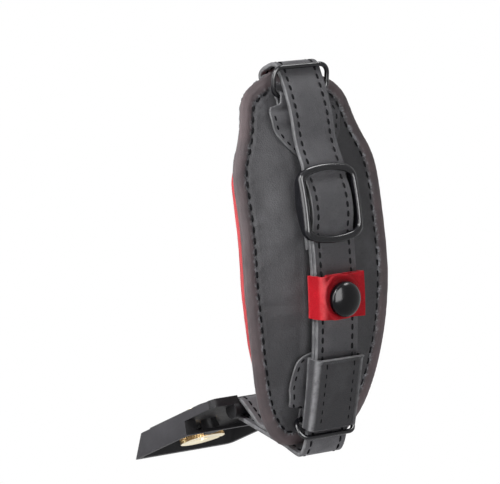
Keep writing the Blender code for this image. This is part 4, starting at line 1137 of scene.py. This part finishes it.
def make_belt(name, node, path, sizes):
    line, _ = resample(path, 0.00065)
    line = soften(line, 3)
    normals = line_normals(line)
    halves = np.full(len(line), BELT_WIDTH / 2)
    profile = belt_profile(BELT_WIDTH, BELT_THICKNESS, sizes.belt_row, 0.00036)
    belt = swept_strip(name, line, normals, halves, profile, BELT_WIDTH, ["belt", "edge"], sizes.stitch_pitch)
    dress(belt, "black_leather", "strap", node)
    rows = []
    for face in (1, -1):
        for side in (1, -1):
            seam = line + face * normals * (BELT_THICKNESS / 2 - 0.00024)
            seam[:, 0] += side * sizes.belt_row
            rows.append(stitch_row(name + "_stitches", seam, normals * face, sizes.stitch_pitch,
                                   BELT_STITCH_LENGTH, sizes.thread_radius * 1.35))
    stitches = join(name + "_stitches", rows)
    dress(stitches, "black_leather", "strap")


class STRAP_OT_belts(bpy.types.Operator):
    """Builds the adjusting belt and the anchor belt with their seams"""
    bl_idname = "hand_strap.belts"
    bl_label = "Belts"

    def execute(self, context):
        sizes = context.scene.hand_strap_sizes
        make_belt("adjusting_belt_leather", "adjusting_belt", adjusting_line(), sizes)
        make_belt("anchor_belt_leather", "anchor_belt", anchor_line(), sizes)
        return {"FINISHED"}


def make_tab(name, node, ring_angle, ring_radius, length, direction, shape):
    """Folds a tab round a ring and onto the cover; returns its seam with the normals."""
    bar = polar(ring_radius, ring_angle)
    step_angle = angle_of(1.0) * direction

    def on_cover(distance, layer):
        place = ring_angle + step_angle * distance
        return polar(cover_radius(place) + GAP + TAB_THICKNESS / 2 + layer * (TAB_THICKNESS + GAP), place)

    outwards = polar(ring_radius + 1, ring_angle) - bar
    down = (polar(ring_radius, ring_angle + direction) - bar).normalized()
    stations = [(on_cover(distance, 0), -distance) for distance in (0.009, 0.0065, 0.004)]
    for degrees in range(-60, -301, -30):
        turn = math.radians(degrees)
        stations.append((bar + TAB_LOOP_RADIUS * (down * math.cos(turn) + outwards * math.sin(turn)), 0.0))
    laid = 0.016
    layers = [(0.0055, 1.0), (0.008, 1.0), (0.0105, 0.9), (0.0135, 0.15), (laid, 0.05)]
    layers += [(laid + (length - laid) * (index + 1) / 6, 0.05) for index in range(6)]
    stations += [(on_cover(distance, layer), distance) for distance, layer in layers]
    line = np.array([tuple(point) for point in smooth_path([place for place, _ in stations], 8)])
    where = np.array([mark[0] for mark in smooth_path([Vector((along, 0, 0)) for _, along in stations], 8)])
    curve = outline_curve([(along, half) for half, along in shape], 6)
    halves = np.where(where < 0.0025, shape[0][0], np.interp(where, *curve))
    width = 2 * max(half for half, along in shape)
    normals = line_normals(line)
    profile = belt_profile(width, TAB_THICKNESS, 0.0, 0.0, False)
    tab = swept_strip(name, line, normals, halves, profile, width, ["belt", "edge"])
    dress(tab, "black_leather", "strap", node)
    outline = [(float(np.interp(distance, *curve)) - 0.0021, distance)
               for distance in np.linspace(0.0050, length - 0.0024, 60)]
    outer = where > 0.003
    order = np.arange(len(where))
    seam = []
    seam_normals = []
    for half, distance in outline + [(-half, distance) for half, distance in reversed(outline)]:
        level = float(np.interp(distance, where[outer], order[outer]))
        place = place_on(line, order, level)
        normal = place_on(normals, order, level)
        away = place - np.array(polar(0.0, 0.0))
        away[0] = 0.0
        if normal @ away < 0:
            normal = -normal
        place = place + normal * (TAB_THICKNESS / 2 - 0.00008)
        place[0] = half
        seam.append(place)
        seam_normals.append(normal)
    return np.array(seam), np.array(seam_normals)


class STRAP_OT_tabs(bpy.types.Operator):
    """Builds the two tabs that are folded round the rings"""
    bl_idname = "hand_strap.tabs"
    bl_label = "Ring tabs"

    def execute(self, context):
        radius = context.scene.hand_strap_sizes.thread_radius
        for name, *tab in (("upper_ring_tab", "top_tab", TOP_RING_ANGLE, TOP_RING_RADIUS, TOP_TAB_LENGTH, 1,
                            TOP_TAB_SHAPE),
                           ("lower_ring_tab", "bottom_tab", BOTTOM_RING_ANGLE, BOTTOM_RING_RADIUS,
                            BOTTOM_TAB_LENGTH, -1, BOTTOM_TAB_SHAPE)):
            seam, normals = make_tab(name, *tab)
            stitches = stitch_row(name + "_stitches", seam, normals, TAB_STITCH_PITCH, TAB_STITCH_LENGTH,
                                  radius)
            dress(stitches, "black_leather", "strap")
        return {"FINISHED"}


def reshaped_torus(name, stations, minor, place_of, finish):
    """A torus whose rings are moved, one by one, onto the stations of a frame."""
    made = fresh(bpy.ops.mesh.primitive_torus_add, major_segments=stations, minor_segments=minor,
                 major_radius=1.0, minor_radius=0.25)
    for vert in made.data.vertices:
        turn = math.atan2(vert.co.y, vert.co.x) % (2 * math.pi)
        station = round(turn / (2 * math.pi) * stations) % stations
        out = math.hypot(vert.co.x, vert.co.y) - 1.0
        vert.co = place_of(station, math.atan2(vert.co.z, out))
    return settle(made, name, finish, 60.0)


def rounded_loop(half_width, length, corner, count):
    """Points of a rounded rectangle, spread evenly: x across, y from 0 to length."""
    points = []
    for sign_x, sign_y, start in ((1, 0, -90), (1, 1, 0), (-1, 1, 90), (-1, 0, 180)):
        centre_x = sign_x * (half_width - corner)
        centre_y = length - corner if sign_y else corner
        for step in range(13):
            turn = math.radians(start + 90 * step / 12)
            points.append(Vector((centre_x + corner * math.cos(turn), centre_y + corner * math.sin(turn), 0)))
    points.append(points[0])
    line, _ = resample(points, 0.00001)
    spread = np.linspace(0, len(line) - 1, count + 1)[:-1].round().astype(int)
    return line[spread]


def make_ring(name, node, angle, radius, front):
    """A wire ring from its bar on the bend to a point in front of the belt."""
    back = polar(radius, angle)
    along = front - back
    length = along.length
    along.normalize()
    corner = min(RING_CORNER, length * 0.4)
    count = 120
    loop = rounded_loop((RING_WIDTH - RING_WIRE) / 2, length, corner, count)
    normal = Vector((1, 0, 0)).cross(along)
    wire = RING_WIRE / 2

    def place_of(station, turn):
        point = loop[station]
        ahead = loop[(station + 1) % count] - loop[station - 1]
        side = Vector((ahead[1], -ahead[0], 0)).normalized()
        centre = back + along * point[1] + Vector((point[0], 0, 0))
        outward_side = Vector((side.x, 0, 0)) + along * side.y
        return centre + wire * (outward_side * math.cos(turn) + normal * math.sin(turn))

    ring = reshaped_torus(name, count, 20, place_of, "enamel")
    dress(ring, "black_enamel", node, node)


class STRAP_OT_rings(bpy.types.Operator):
    """Bends the two rectangular wire rings"""
    bl_idname = "hand_strap.rings"
    bl_label = "Wire rings"

    def execute(self, context):
        wire = RING_WIRE / 2
        make_ring("upper_wire_ring", "top_ring", TOP_RING_ANGLE, TOP_RING_RADIUS,
                  polar(FRONT_BELT_RADIUS + BELT_THICKNESS / 2 + GAP + wire, TOP_RING_FRONT_ANGLE))
        make_ring("lower_wire_ring", "bottom_ring", BOTTOM_RING_ANGLE, BOTTOM_RING_RADIUS,
                  polar(INNER_BELT_RADIUS + BELT_THICKNESS / 2 + GAP + wire, BOTTOM_RING_FRONT_ANGLE))
        return {"FINISHED"}


def frame_at(radius, degrees, x=0.0):
    """A local frame on the bend: X across, Y down the strap, Z outwards."""
    angle = math.radians(degrees)
    down = Vector((0, math.sin(angle), -math.cos(angle)))
    out = Vector((0, -math.cos(angle), -math.sin(angle)))
    turn = Matrix((Vector((-1, 0, 0)), down, out)).transposed().to_4x4()
    return Matrix.Translation(polar(radius, degrees, x)) @ turn


def barrel_outline(half_width, half, bow, corner, count):
    """A rounded rectangle with bowed ends, at evenly spread directions."""
    quarter = []
    for step in range(13):
        across = (half_width - corner) * step / 12
        quarter.append((across, half + bow * (1 - (across / half_width) ** 2)))
    for step in range(1, 13):
        turn = math.radians(90 - 90 * step / 12)
        quarter.append((half_width - corner + corner * math.cos(turn),
                        half - corner + corner * math.sin(turn) + bow * 0.2 * math.sin(turn)))
    upper = quarter + [(across, -along) for across, along in reversed(quarter)]
    points = upper + [(-across, along) for across, along in reversed(upper) if across > 0.00001]
    points = [Vector((*point, 0)) for point in points]
    line, _ = resample([*points, points[0]], 0.00002)
    turns = np.arctan2(line[:, 0] / half_width, line[:, 1] / (half + bow))
    order = np.argsort(turns)
    wanted = np.linspace(-math.pi, math.pi, count + 1)[:-1]
    across = np.interp(wanted, turns[order], line[order, 0], period=2 * math.pi)
    along = np.interp(wanted, turns[order], line[order, 1], period=2 * math.pi)
    return np.column_stack([across, along])


class STRAP_OT_buckle(bpy.types.Operator):
    """Builds the barrel-shaped slide buckle with its hidden bar"""
    bl_idname = "hand_strap.buckle"
    bl_label = "Slide buckle"

    def execute(self, context):
        stand = frame_at(OUTER_BELT_RADIUS, BUCKLE_ANGLE)
        half_length = BUCKLE_LENGTH / 2
        fall = half_length ** 2 / (2 * OUTER_BELT_RADIUS)
        under = BELT_THICKNESS / 2 + GAP - fall + 0.0001
        end_top = under + BUCKLE_END_HEIGHT
        bar_level = BUCKLE_BAR_RADIUS - OUTER_BELT_RADIUS
        count = 144
        outer = barrel_outline(BUCKLE_WIDTH / 2, half_length - BUCKLE_BOW, BUCKLE_BOW, BUCKLE_CORNER, count)
        inner = barrel_outline(BUCKLE_WIDTH / 2 - BUCKLE_SIDE_WALL,
                               half_length - BUCKLE_BOW - BUCKLE_END_BAR, BUCKLE_BOW, BUCKLE_CORNER - 0.0015,
                               count)
        lowest_end = under - GAP
        low = bar_level - BUCKLE_BAR_THICKNESS / 2

        def place_of(station, turn):
            start = Vector((*inner[station], 0))
            span = Vector((*outer[station], 0)) - start
            power = 0.95 if math.cos(turn) > 0 else 0.62
            reach = math.copysign(abs(math.cos(turn)) ** power, math.cos(turn))
            height = math.copysign(abs(math.sin(turn)) ** 0.8, math.sin(turn))
            place = start + span * (0.5 + 0.5 * reach)
            t = max(-1.0, min(1.0, place.y / half_length))
            top = end_top + BUCKLE_MIDDLE_RISE * (1 - t * t)
            side = abs(place.x) > BUCKLE_WIDTH / 2 - BUCKLE_SIDE_WALL - 0.0003
            bottom = lowest_end + (low - 0.0008 - lowest_end) * (1 - t * t) if side else under + 0.00005
            middle = (top + bottom) / 2
            return stand @ Vector((place.x, place.y, middle + (top - bottom) / 2 * height))

        body = reshaped_torus("slide_buckle_frame", count, 24, place_of, "casting")
        bar = fresh(bpy.ops.mesh.primitive_cube_add, size=1.0)
        bar.dimensions = (BUCKLE_WIDTH - 2 * BUCKLE_SIDE_WALL + 0.002, BUCKLE_BAR_WIDTH, BUCKLE_BAR_THICKNESS)
        bpy.ops.object.transform_apply(location=False, rotation=False, scale=True)
        bevelled(bar, 0.0005, 3)
        apply_all(bar)
        bar.matrix_world = stand @ Matrix.Translation((0, 0, bar_level))
        settle(bar, "slide_buckle_bar", "casting")
        for piece in (body, bar):
            dress(piece, "black_enamel", "strap")
        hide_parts("slide_buckle")
        return {"FINISHED"}


def rounded_corners(corners, radius, steps=8):
    """A line whose inner corners are rounded."""
    points = [corners[0]]
    for before, corner, after in zip(corners, corners[1:], corners[2:]):
        into = (Vector(before) - Vector(corner)).normalized()
        out = (Vector(after) - Vector(corner)).normalized()
        for step in range(steps + 1):
            t = step / steps
            points.append(tuple(Vector(corner) + radius * ((1 - t) ** 2 * into + t ** 2 * out)))
    points.append(corners[-1])
    return points


def leather_band(name, outline, closed, start, end, rows, finishes, relief):
    """A band of leather swept round the bend, with turned edges and a cut rim."""
    if closed:
        outline = [*outline, outline[0]]
    line, _ = resample([(x, radius, 0.0) for x, radius in outline], 0.0004)
    if closed:
        line = line[:-1]
    columns = len(line)
    points = []
    for row in range(rows + 1):
        share = row / rows
        for x, radius, _ in line:
            shift, lift = relief(x, radius, share)
            points.append(polar(radius + lift, start + (end - start) * share + shift, x))
    faces = []
    for row in range(rows):
        for index in range(columns if closed else columns - 1):
            after = (index + 1) % columns
            faces.append((row * columns + index, row * columns + after,
                          (row + 1) * columns + after, (row + 1) * columns + index))
    made = new_piece(name, points, faces, finishes, None, 50.0)
    ahead = np.roll(line, -1, axis=0) - line
    behind = line - np.roll(line, 1, axis=0)
    turned = np.abs(np.cross(behind[:, :2], ahead[:, :2])) / np.maximum(
        np.linalg.norm(behind, axis=1) * np.linalg.norm(ahead, axis=1), 1e-12)
    if not closed:
        turned[0] = turned[-1] = 0.0
    # Turned corners of the outline are marked lightened; the finish paints them paler, as rubbing and as a
    # painted fold highlight.
    mark_points(made, "worn", np.tile(np.clip(turned * 2.2, 0.0, 1.0), rows + 1))
    thicken(made, LEATHER, 0.0, True)
    bevelled(made, 0.00022, 2, 60.0).modifiers["Edge"].material = 1
    apply_all(made)
    made.data.shade_smooth()
    made.data.set_sharp_from_angle(angle=math.radians(50))
    return made


def keeper_levels():
    inner = STACK_BOTTOM - GAP - LEATHER / 2
    under_layer = STACK_TOP + 2 * GAP + 0.0005 + LEATHER / 2
    return inner, under_layer, under_layer + LEATHER + FLAP_RISE


class STRAP_OT_keeper(bpy.types.Operator):
    """Builds the red keeper whose flap is pressed down by a snap"""
    bl_idname = "hand_strap.keeper"
    bl_label = "Keeper"

    def execute(self, context):
        inner, under_layer, flap = keeper_levels()
        half = KEEPER_WIDTH / 2 - LEATHER / 2
        path = [(-FLAP_UNDERLAP, under_layer), (half, under_layer), (half, inner), (-half, inner),
                (-half, flap), (half + LEATHER / 2 - FLAP_END_INSET, flap)]
        outline = rounded_corners(path, KEEPER_CORNER * 0.8)
        half_angle = angle_of(KEEPER_HEIGHT / 2, flap)

        def relief(x, radius, share):
            shift = 0.0
            lift = 0.0
            if radius > under_layer + LEATHER * 0.8:
                away = math.hypot(x - SNAP_X + 0.0008, (share - 0.5) * KEEPER_HEIGHT)
                lift += 0.00062 * math.exp(-((away - 0.0087) / 0.0007) ** 2)
                lift -= 0.00016 * math.exp(-(away / 0.0074) ** 6)
                edge = min(share, 1 - share)
                lift += 0.00026 * math.sin(x * 520 + 1.0) * max(0.0, 1 - edge / 0.2)
                shift = 0.06 * math.sin(x * 430 + 0.5) * (1 if share < 0.5 else -0.6) * max(0, 1 - edge * 3)
            return shift, lift

        band = leather_band("red_keeper_band", outline, False, KEEPER_ANGLE - half_angle,
                            KEEPER_ANGLE + half_angle, 36, ["keeper", "keeper_edge"], relief)
        for level in (under_layer, flap):
            drill = fresh(bpy.ops.mesh.primitive_cylinder_add, vertices=32, radius=SNAP_HOLE_RADIUS,
                          depth=0.0018)
            drill.matrix_world = frame_at(level, SNAP_ANGLE, SNAP_X)
            cut_with(band, drill)
            apply_all(band)
            bpy.data.objects.remove(drill)
        dress(band, "red_leather", "keeper", "keeper_band")
        return {"FINISHED"}


class STRAP_OT_snap_cap(bpy.types.Operator):
    """Domes the snap's lacquered cap"""
    bl_idname = "hand_strap.snap_cap"
    bl_label = "Snap cap"

    def execute(self, context):
        _, _, flap = keeper_levels()
        rim = flap + LEATHER / 2 + GAP
        shank = flap - LEATHER / 2 - 0.0004
        cap = fresh(bpy.ops.mesh.primitive_cylinder_add, vertices=64, radius=SNAP_SHANK_RADIUS,
                    depth=rim - shank, location=(0, 0, (rim - shank) / 2))
        bpy.ops.object.transform_apply(location=True, rotation=False, scale=False)
        bpy.ops.object.mode_set(mode="EDIT")
        bpy.ops.mesh.select_all(action="DESELECT")
        choose_faces(cap, lambda face: face.normal.z > 0.9)
        wide = SNAP_CAP_RADIUS * 0.965
        grow(0)
        bpy.ops.transform.resize(value=(wide / SNAP_SHANK_RADIUS, wide / SNAP_SHANK_RADIUS, 1))
        steps = [(SNAP_CAP_RADIUS * 0.99, 0.00012), (SNAP_CAP_RADIUS, 0.00035),
                 (SNAP_CAP_RADIUS, SNAP_CAP_RIM)]
        for degrees in range(6, 91, 6):
            turn = math.radians(degrees)
            steps.append((max(SNAP_CAP_RADIUS * math.cos(turn), 0.00012),
                          SNAP_CAP_RIM + SNAP_CAP_DOME * math.sin(turn)))
        now, level = wide, 0.0
        for radius, height in steps:
            grow(height - level)
            bpy.ops.transform.resize(value=(radius / now, radius / now, 1))
            now, level = radius, height
        bpy.ops.object.mode_set(mode="OBJECT")
        cap.matrix_world = frame_at(shank, SNAP_ANGLE, SNAP_X)
        settle(cap, "domed_snap_cap", "gloss", 40.0)
        dress(cap, "black_gloss", "keeper", "snap_cap")
        return {"FINISHED"}


class STRAP_OT_sleeve(bpy.types.Operator):
    """Builds the wide sleeve that takes the belt's tail"""
    bl_idname = "hand_strap.sleeve"
    bl_label = "Tail sleeve"

    def execute(self, context):
        low = STACK_BOTTOM - GAP - LEATHER / 2
        high = STACK_TOP + GAP + LEATHER / 2
        half = BELT_WIDTH / 2 + SLEEVE_PLAY + LEATHER / 2
        corners = [(0.0, low), (half, low), (half, high), (-half, high), (-half, low), (0.0, low)]
        outline = rounded_corners(corners, SLEEVE_CORNER * 0.8)[:-1]

        def relief(x, radius, share):
            lift = 0.0
            if radius > high - FACE_TOLERANCE:
                inside = half - abs(x)
                lift -= 0.00032 * math.exp(-((inside - 0.0019) / 0.0004) ** 2)
                lift -= 0.00010 * math.exp(-((inside - SLEEVE_SEAM_INSET) / 0.0009) ** 2)
                bead = 0.00085 * math.exp(-(share / 0.030) ** 2)
                lift += bead - 0.0003 * math.exp(-((share - 0.07) / 0.02) ** 2)
            lift += SLEEVE_MOUTH_LIFT * (1 - share) ** 1.6 * max(0.0, radius - low) / (high - low)
            return 0.0, lift

        sleeve = leather_band("tail_sleeve_leather", outline, True, SLEEVE_START_ANGLE, SLEEVE_END_ANGLE, 60,
                              ["sleeve", "edge"], relief)
        dress(sleeve, "black_leather", "strap", "tail_sleeve")
        sizes = context.scene.hand_strap_sizes
        rows = []
        for side in (-1, 1):
            line = []
            for share in np.linspace(0.04, 0.97, 60):
                degrees = SLEEVE_START_ANGLE + (SLEEVE_END_ANGLE - SLEEVE_START_ANGLE) * share
                level = high + LEATHER / 2 - 0.00022 + SLEEVE_MOUTH_LIFT * (1 - share) ** 1.6
                line.append(tuple(polar(level, degrees, side * (half - SLEEVE_SEAM_INSET))))
            line = np.array(line)
            rows.append(stitch_row("sleeve_stitches", line, -line_normals(line), sizes.stitch_pitch,
                                   SLEEVE_STITCH_LENGTH, sizes.thread_radius * 0.85))
        stitches = join("sleeve_stitches", rows)
        dress(stitches, "black_leather", "strap")
        return {"FINISHED"}


class STRAP_OT_plate(bpy.types.Operator):
    """Rounds the moulded base plate's edges"""
    bl_idname = "hand_strap.plate"
    bl_label = "Base plate"

    def execute(self, context):
        plate = solid_copy("base_plate")
        edge = bevelled(plate, 0.0005, 3, 35.0).modifiers["Edge"]
        plate.data.materials.clear()
        for _ in range(3):
            plate.data.materials.append(FINISHES["plastic"])
        # Bevel faces get the paler edge finish, a painted rim highlight.
        edge.material = 1
        apply_all(plate)
        marks = [face.material_index for face in plate.data.polygons]
        # Faces inside the hollow and under the lip get the darkened plastic: painted shade.
        for face in plate.data.polygons:
            centre = face.center
            hollow = (abs(centre.x) < PLATE_HOLLOW_HALF
                      and PLATE_BOTTOM + FACE_TOLERANCE < centre.z < PLATE_WEB_BOTTOM + FACE_TOLERANCE / 2)
            under_lip = centre.y < PLATE_LIP_END + 0.0006
            if marks[face.index] == 0 and (hollow or under_lip):
                marks[face.index] = 2
        settle(plate, "moulded_base_plate", "plastic", 30.0)
        for finish in ("plastic_edge_highlight", "plastic_hollow_shade"):
            plate.data.materials.append(FINISHES[finish])
        for face in plate.data.polygons:
            face.material_index = marks[face.index]
        dress(plate, "matt_plastic", "plate", "base_plate")
        return {"FINISHED"}


class STRAP_OT_screw(bpy.types.Operator):
    """Turns the brass screw: knurled head, coin slot, socket and thread"""
    bl_idname = "hand_strap.screw"
    bl_label = "Camera screw"

    def execute(self, context):
        head = fresh(bpy.ops.mesh.primitive_cylinder_add, vertices=96, radius=SCREW_HEAD_RADIUS,
                     depth=SCREW_HEAD_HEIGHT)
        bpy.ops.object.mode_set(mode="EDIT")
        choose_faces(head, lambda face: face.normal.z < -0.9)
        bpy.ops.mesh.inset(thickness=0.0009)
        bpy.ops.mesh.inset(thickness=0.00025, depth=-0.00018)
        bpy.ops.mesh.inset(thickness=SCREW_HEAD_RADIUS - 0.00115 - SCREW_SOCKET_RADIUS - 0.0003)
        bpy.ops.mesh.inset(thickness=0.0003, depth=-0.0003)
        grow(SCREW_SOCKET_DEPTH - 0.0005)

        def in_knurl(face):
            turn = math.degrees(math.atan2(face.normal.y, face.normal.x)) % KNURL_STEP
            centre = face.calc_center_median()
            side = abs(face.normal.z) < 0.1 and math.hypot(centre.x, centre.y) > SCREW_HEAD_RADIUS * 0.98
            return side and turn < KNURL_STEP / 2

        bpy.ops.mesh.select_all(action="DESELECT")
        choose_faces(head, in_knurl)
        bpy.ops.mesh.inset(thickness=0.00007, depth=-0.00022, use_individual=True)
        bpy.ops.mesh.select_all(action="DESELECT")
        top = SCREW_HEAD_HEIGHT * 0.45
        choose_faces(head, lambda face: face.normal.z > 0.9 and face.calc_center_median().z > top)
        bpy.ops.mesh.inset(thickness=SCREW_HEAD_RADIUS - SCREW_SHANK_RADIUS + 0.0003)
        grow(SCREW_REACH - (SCREW_HEAD_BOTTOM + SCREW_HEAD_HEIGHT) - 0.0004)
        bpy.ops.mesh.inset(thickness=0.0004, depth=0.0)
        bpy.ops.transform.translate(value=(0, 0, 0.0004))
        bpy.ops.object.mode_set(mode="OBJECT")
        head.location = (0, SCREW_Y, SCREW_HEAD_BOTTOM + SCREW_HEAD_HEIGHT / 2)
        bpy.ops.object.transform_apply(location=True, rotation=False, scale=False)
        cutter = fresh(bpy.ops.mesh.primitive_cube_add, size=1.0)
        cutter.scale = SCREW_SLOT
        cutter.location = (0, SCREW_Y, SCREW_HEAD_BOTTOM)
        cut_with(head, cutter)
        bevelled(head, 0.00012, 2, 40.0)
        apply_all(head)
        bpy.data.objects.remove(cutter)
        settle(head, "coin_slot_screw", "brass", 32.0)
        head.data.materials.append(FINISHES["brass_shaded_edge"])
        # The knurled side faces get the darker brass: painted shade.
        for face in head.data.polygons:
            reach = math.hypot(face.center.x, face.center.y - SCREW_Y)
            face.material_index = int(reach > SCREW_HEAD_RADIUS * 0.965 and abs(face.normal.z) < 0.5)
        dress(head, "brass", "screw", "tripod_screw")
        dress(self.thread(), "brass", "screw")
        return {"FINISHED"}

    def thread(self):
        """A helical ridge round the shank's free end."""
        steps = int(THREAD_STEPS * THREAD_TURNS)
        inner = SCREW_SHANK_RADIUS - THREAD_DEPTH
        points = []
        for step in range(steps + 1):
            turn = 2 * math.pi * step / THREAD_STEPS
            fade = min(1.0, step / 10, (steps - step) / 10)
            height = THREAD_START + THREAD_PITCH * step / THREAD_STEPS
            crest = SCREW_SHANK_RADIUS - 0.0003 * (1 - fade)
            for radius, rise in ((inner, -0.42), (crest, -0.08), (crest, 0.08), (inner, 0.42)):
                points.append((radius * math.cos(turn), SCREW_Y + radius * math.sin(turn),
                               height + rise * THREAD_PITCH))
        faces = []
        for step in range(0, steps * 4, 4):
            for corner in range(4):
                after = (corner + 1) % 4
                faces.append((step + corner, step + after, step + 4 + after, step + 4 + corner))
        faces += [(0, 1, 2, 3), tuple(steps * 4 + corner for corner in (3, 2, 1, 0))]
        return new_piece("camera_screw_thread", points, faces, ["brass"], None, 35.0)


class STRAP_OT_inner_parts(bpy.types.Operator):
    """Gives the pieces that keep their CAD shape their finishes"""
    bl_idname = "hand_strap.inner_parts"
    bl_label = "Small parts"

    def execute(self, context):
        for node, finish in (("pad_foam", "foam"), ("snap_socket", "steel"), ("snap_stud", "steel"),
                             ("snap_post", "steel"), ("grip_sheet", "rubber"), ("screw_washer", "nylon"),
                             ("screw_clip", "steel")):
            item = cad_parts[node]
            item.data.materials.clear()
            item.data.materials.append(FINISHES[finish])
        return {"FINISHED"}


class STRAP_OT_stage(bpy.types.Operator):
    """Sets the floor, the lamps, the world and the camera"""
    bl_idname = "hand_strap.stage"
    bl_label = "Stage"

    def execute(self, context):
        scene = context.scene
        scene.view_settings.view_transform = "Standard"
        floor = fresh(bpy.ops.mesh.primitive_plane_add, size=6.0, location=(0, 0, FLOOR_LEVEL))
        bpy.ops.object.transform_apply(location=True, rotation=False, scale=False)
        floor.name = "pale_floor"
        finish = Finish("pale_floor_paint")
        finish.set(Base_Color=finish.mix(finish.noise(40.0), (0.86, 0.86, 0.86), (0.92, 0.92, 0.92)),
                   Roughness=0.8)
        glossy = finish.node("ShaderNodeLightPath", {}, {}, "Is Glossy Ray")
        seen = Value(finish, glossy.socket.node.outputs["Is Camera Ray"])
        glow = finish.node("ShaderNodeEmission", {}, {"Color": (1, 1, 1), "Strength": 1.0})
        lit = Value(finish, finish.shader.outputs[0])
        mixed = finish.node("ShaderNodeMixShader", {}, {0: glossy + seen * 0.72, 1: lit, 2: glow})
        finish.tree.links.new(mixed.socket, finish.tree.nodes["Material Output"].inputs["Surface"])
        floor.data.materials.append(finish.material)
        self.world(scene)
        self.lamp("key_lamp", (-1.14, -0.56, 1.10), (0.55, 0.55), 36.0)
        self.lamp("top_lamp", (-0.35, -0.35, 1.5), (0.6, 0.6), 2.5)
        self.lamp("rim_lamp", (-1.0, 1.1, 0.35), (0.8, 0.8), 5.0)
        for name, place, size, power in (("front_card", (-0.30, -0.80, -0.10), (0.75, 1.25), 52.0),
                                         ("left_card", (-1.32, -0.05, 0.45), (1.0, 1.0), 30.0),
                                         ("right_card", (0.68, -0.92, 0.95), (0.5, 0.4), 16.0)):
            card = self.lamp(name, place, size, power)
            card.visible_diffuse = False
            card.visible_camera = False
        self.camera(scene)
        return {"FINISHED"}

    def lamp(self, name, place, size, power):
        light = bpy.data.lights.new(name, "AREA")
        light.shape = "RECTANGLE"
        light.size, light.size_y = size
        light.energy = power
        made = bpy.data.objects.new(name, light)
        made.location = place
        made.rotation_euler = (LAMP_AIM - made.location).to_track_quat("-Z", "Y").to_euler()
        bpy.context.scene.collection.objects.link(made)
        return made

    def world(self, scene):
        world = bpy.data.worlds.new("studio")
        scene.world = world
        world.use_nodes = True
        tree = world.node_tree
        background = tree.nodes["Background"]
        background.inputs["Color"].default_value = (1, 1, 1, 1)
        path = tree.nodes.new("ShaderNodeLightPath")
        seen = path.outputs["Is Camera Ray"]
        for ray in ("Is Glossy Ray", "Is Transmission Ray"):
            either = tree.nodes.new("ShaderNodeMath")
            either.operation = "MAXIMUM"
            tree.links.new(seen, either.inputs[0])
            tree.links.new(path.outputs[ray], either.inputs[1])
            seen = either.outputs[0]
        strength = tree.nodes.new("ShaderNodeMix")
        strength.data_type = "FLOAT"
        strength.inputs[2].default_value = 0.12
        strength.inputs[3].default_value = 1.0
        tree.links.new(seen, strength.inputs[0])
        tree.links.new(strength.outputs[0], background.inputs["Strength"])

    def camera(self, scene):
        azimuth, elevation, roll = map(math.radians, (VIEW_AZIMUTH, VIEW_ELEVATION, VIEW_ROLL))
        back = Vector((-math.sin(azimuth) * math.cos(elevation), -math.cos(azimuth) * math.cos(elevation),
                       math.sin(elevation)))
        right = (-back).cross(Vector((0, 0, 1))).normalized()
        up = right.cross(-back)
        across = math.cos(roll) * right - math.sin(roll) * up
        over = math.sin(roll) * right + math.cos(roll) * up
        data = bpy.data.cameras.new("photo_view")
        data.lens = VIEW_LENS
        data.sensor_width = 36.0
        data.clip_start = 0.05
        made = bpy.data.objects.new("photo_view", data)
        turn = Matrix((across, over, back)).transposed().to_4x4()
        made.matrix_world = Matrix.Translation(VIEW_TARGET + back * VIEW_DISTANCE) @ turn
        scene.collection.objects.link(made)
        scene.camera = made


PIECES = (STRAP_OT_stage, STRAP_OT_lining, STRAP_OT_pad, STRAP_OT_tabs, STRAP_OT_rings, STRAP_OT_belts,
          STRAP_OT_buckle, STRAP_OT_keeper, STRAP_OT_snap_cap, STRAP_OT_sleeve, STRAP_OT_plate,
          STRAP_OT_screw, STRAP_OT_inner_parts)


class STRAP_PT_panel(bpy.types.Panel):
    """Lists the strap's sizes, colours and pieces"""
    bl_idname = "STRAP_PT_panel"
    bl_label = "Hand strap"
    bl_space_type = "VIEW_3D"
    bl_region_type = "UI"
    bl_category = "Hand strap"

    def draw(self, context):
        layout = self.layout
        for group in (context.scene.hand_strap_sizes, context.scene.hand_strap_colours):
            box = layout.box()
            for name in group.__annotations__:
                box.prop(group, name)
        for piece in PIECES:
            layout.operator(piece.bl_idname)


CLASSES = (StrapSizes, StrapColours, *PIECES, STRAP_PT_panel)


def register():
    for item in CLASSES:
        bpy.utils.register_class(item)
    bpy.types.Scene.hand_strap_sizes = bpy.props.PointerProperty(type=StrapSizes)
    bpy.types.Scene.hand_strap_colours = bpy.props.PointerProperty(type=StrapColours)


def unregister():
    del bpy.types.Scene.hand_strap_colours
    del bpy.types.Scene.hand_strap_sizes
    for item in reversed(CLASSES):
        bpy.utils.unregister_class(item)


def main():
    register()
    make_finishes(bpy.context.scene.hand_strap_colours)
    bpy.ops.hand_strap.stage()
    bpy.ops.hand_strap.lining()
    bpy.ops.hand_strap.pad()
    bpy.ops.hand_strap.tabs()
    bpy.ops.hand_strap.rings()
    bpy.ops.hand_strap.belts()
    bpy.ops.hand_strap.buckle()
    bpy.ops.hand_strap.keeper()
    bpy.ops.hand_strap.snap_cap()
    bpy.ops.hand_strap.sleeve()
    bpy.ops.hand_strap.plate()
    bpy.ops.hand_strap.screw()
    bpy.ops.hand_strap.inner_parts()


if __name__ == "__main__":
    main()
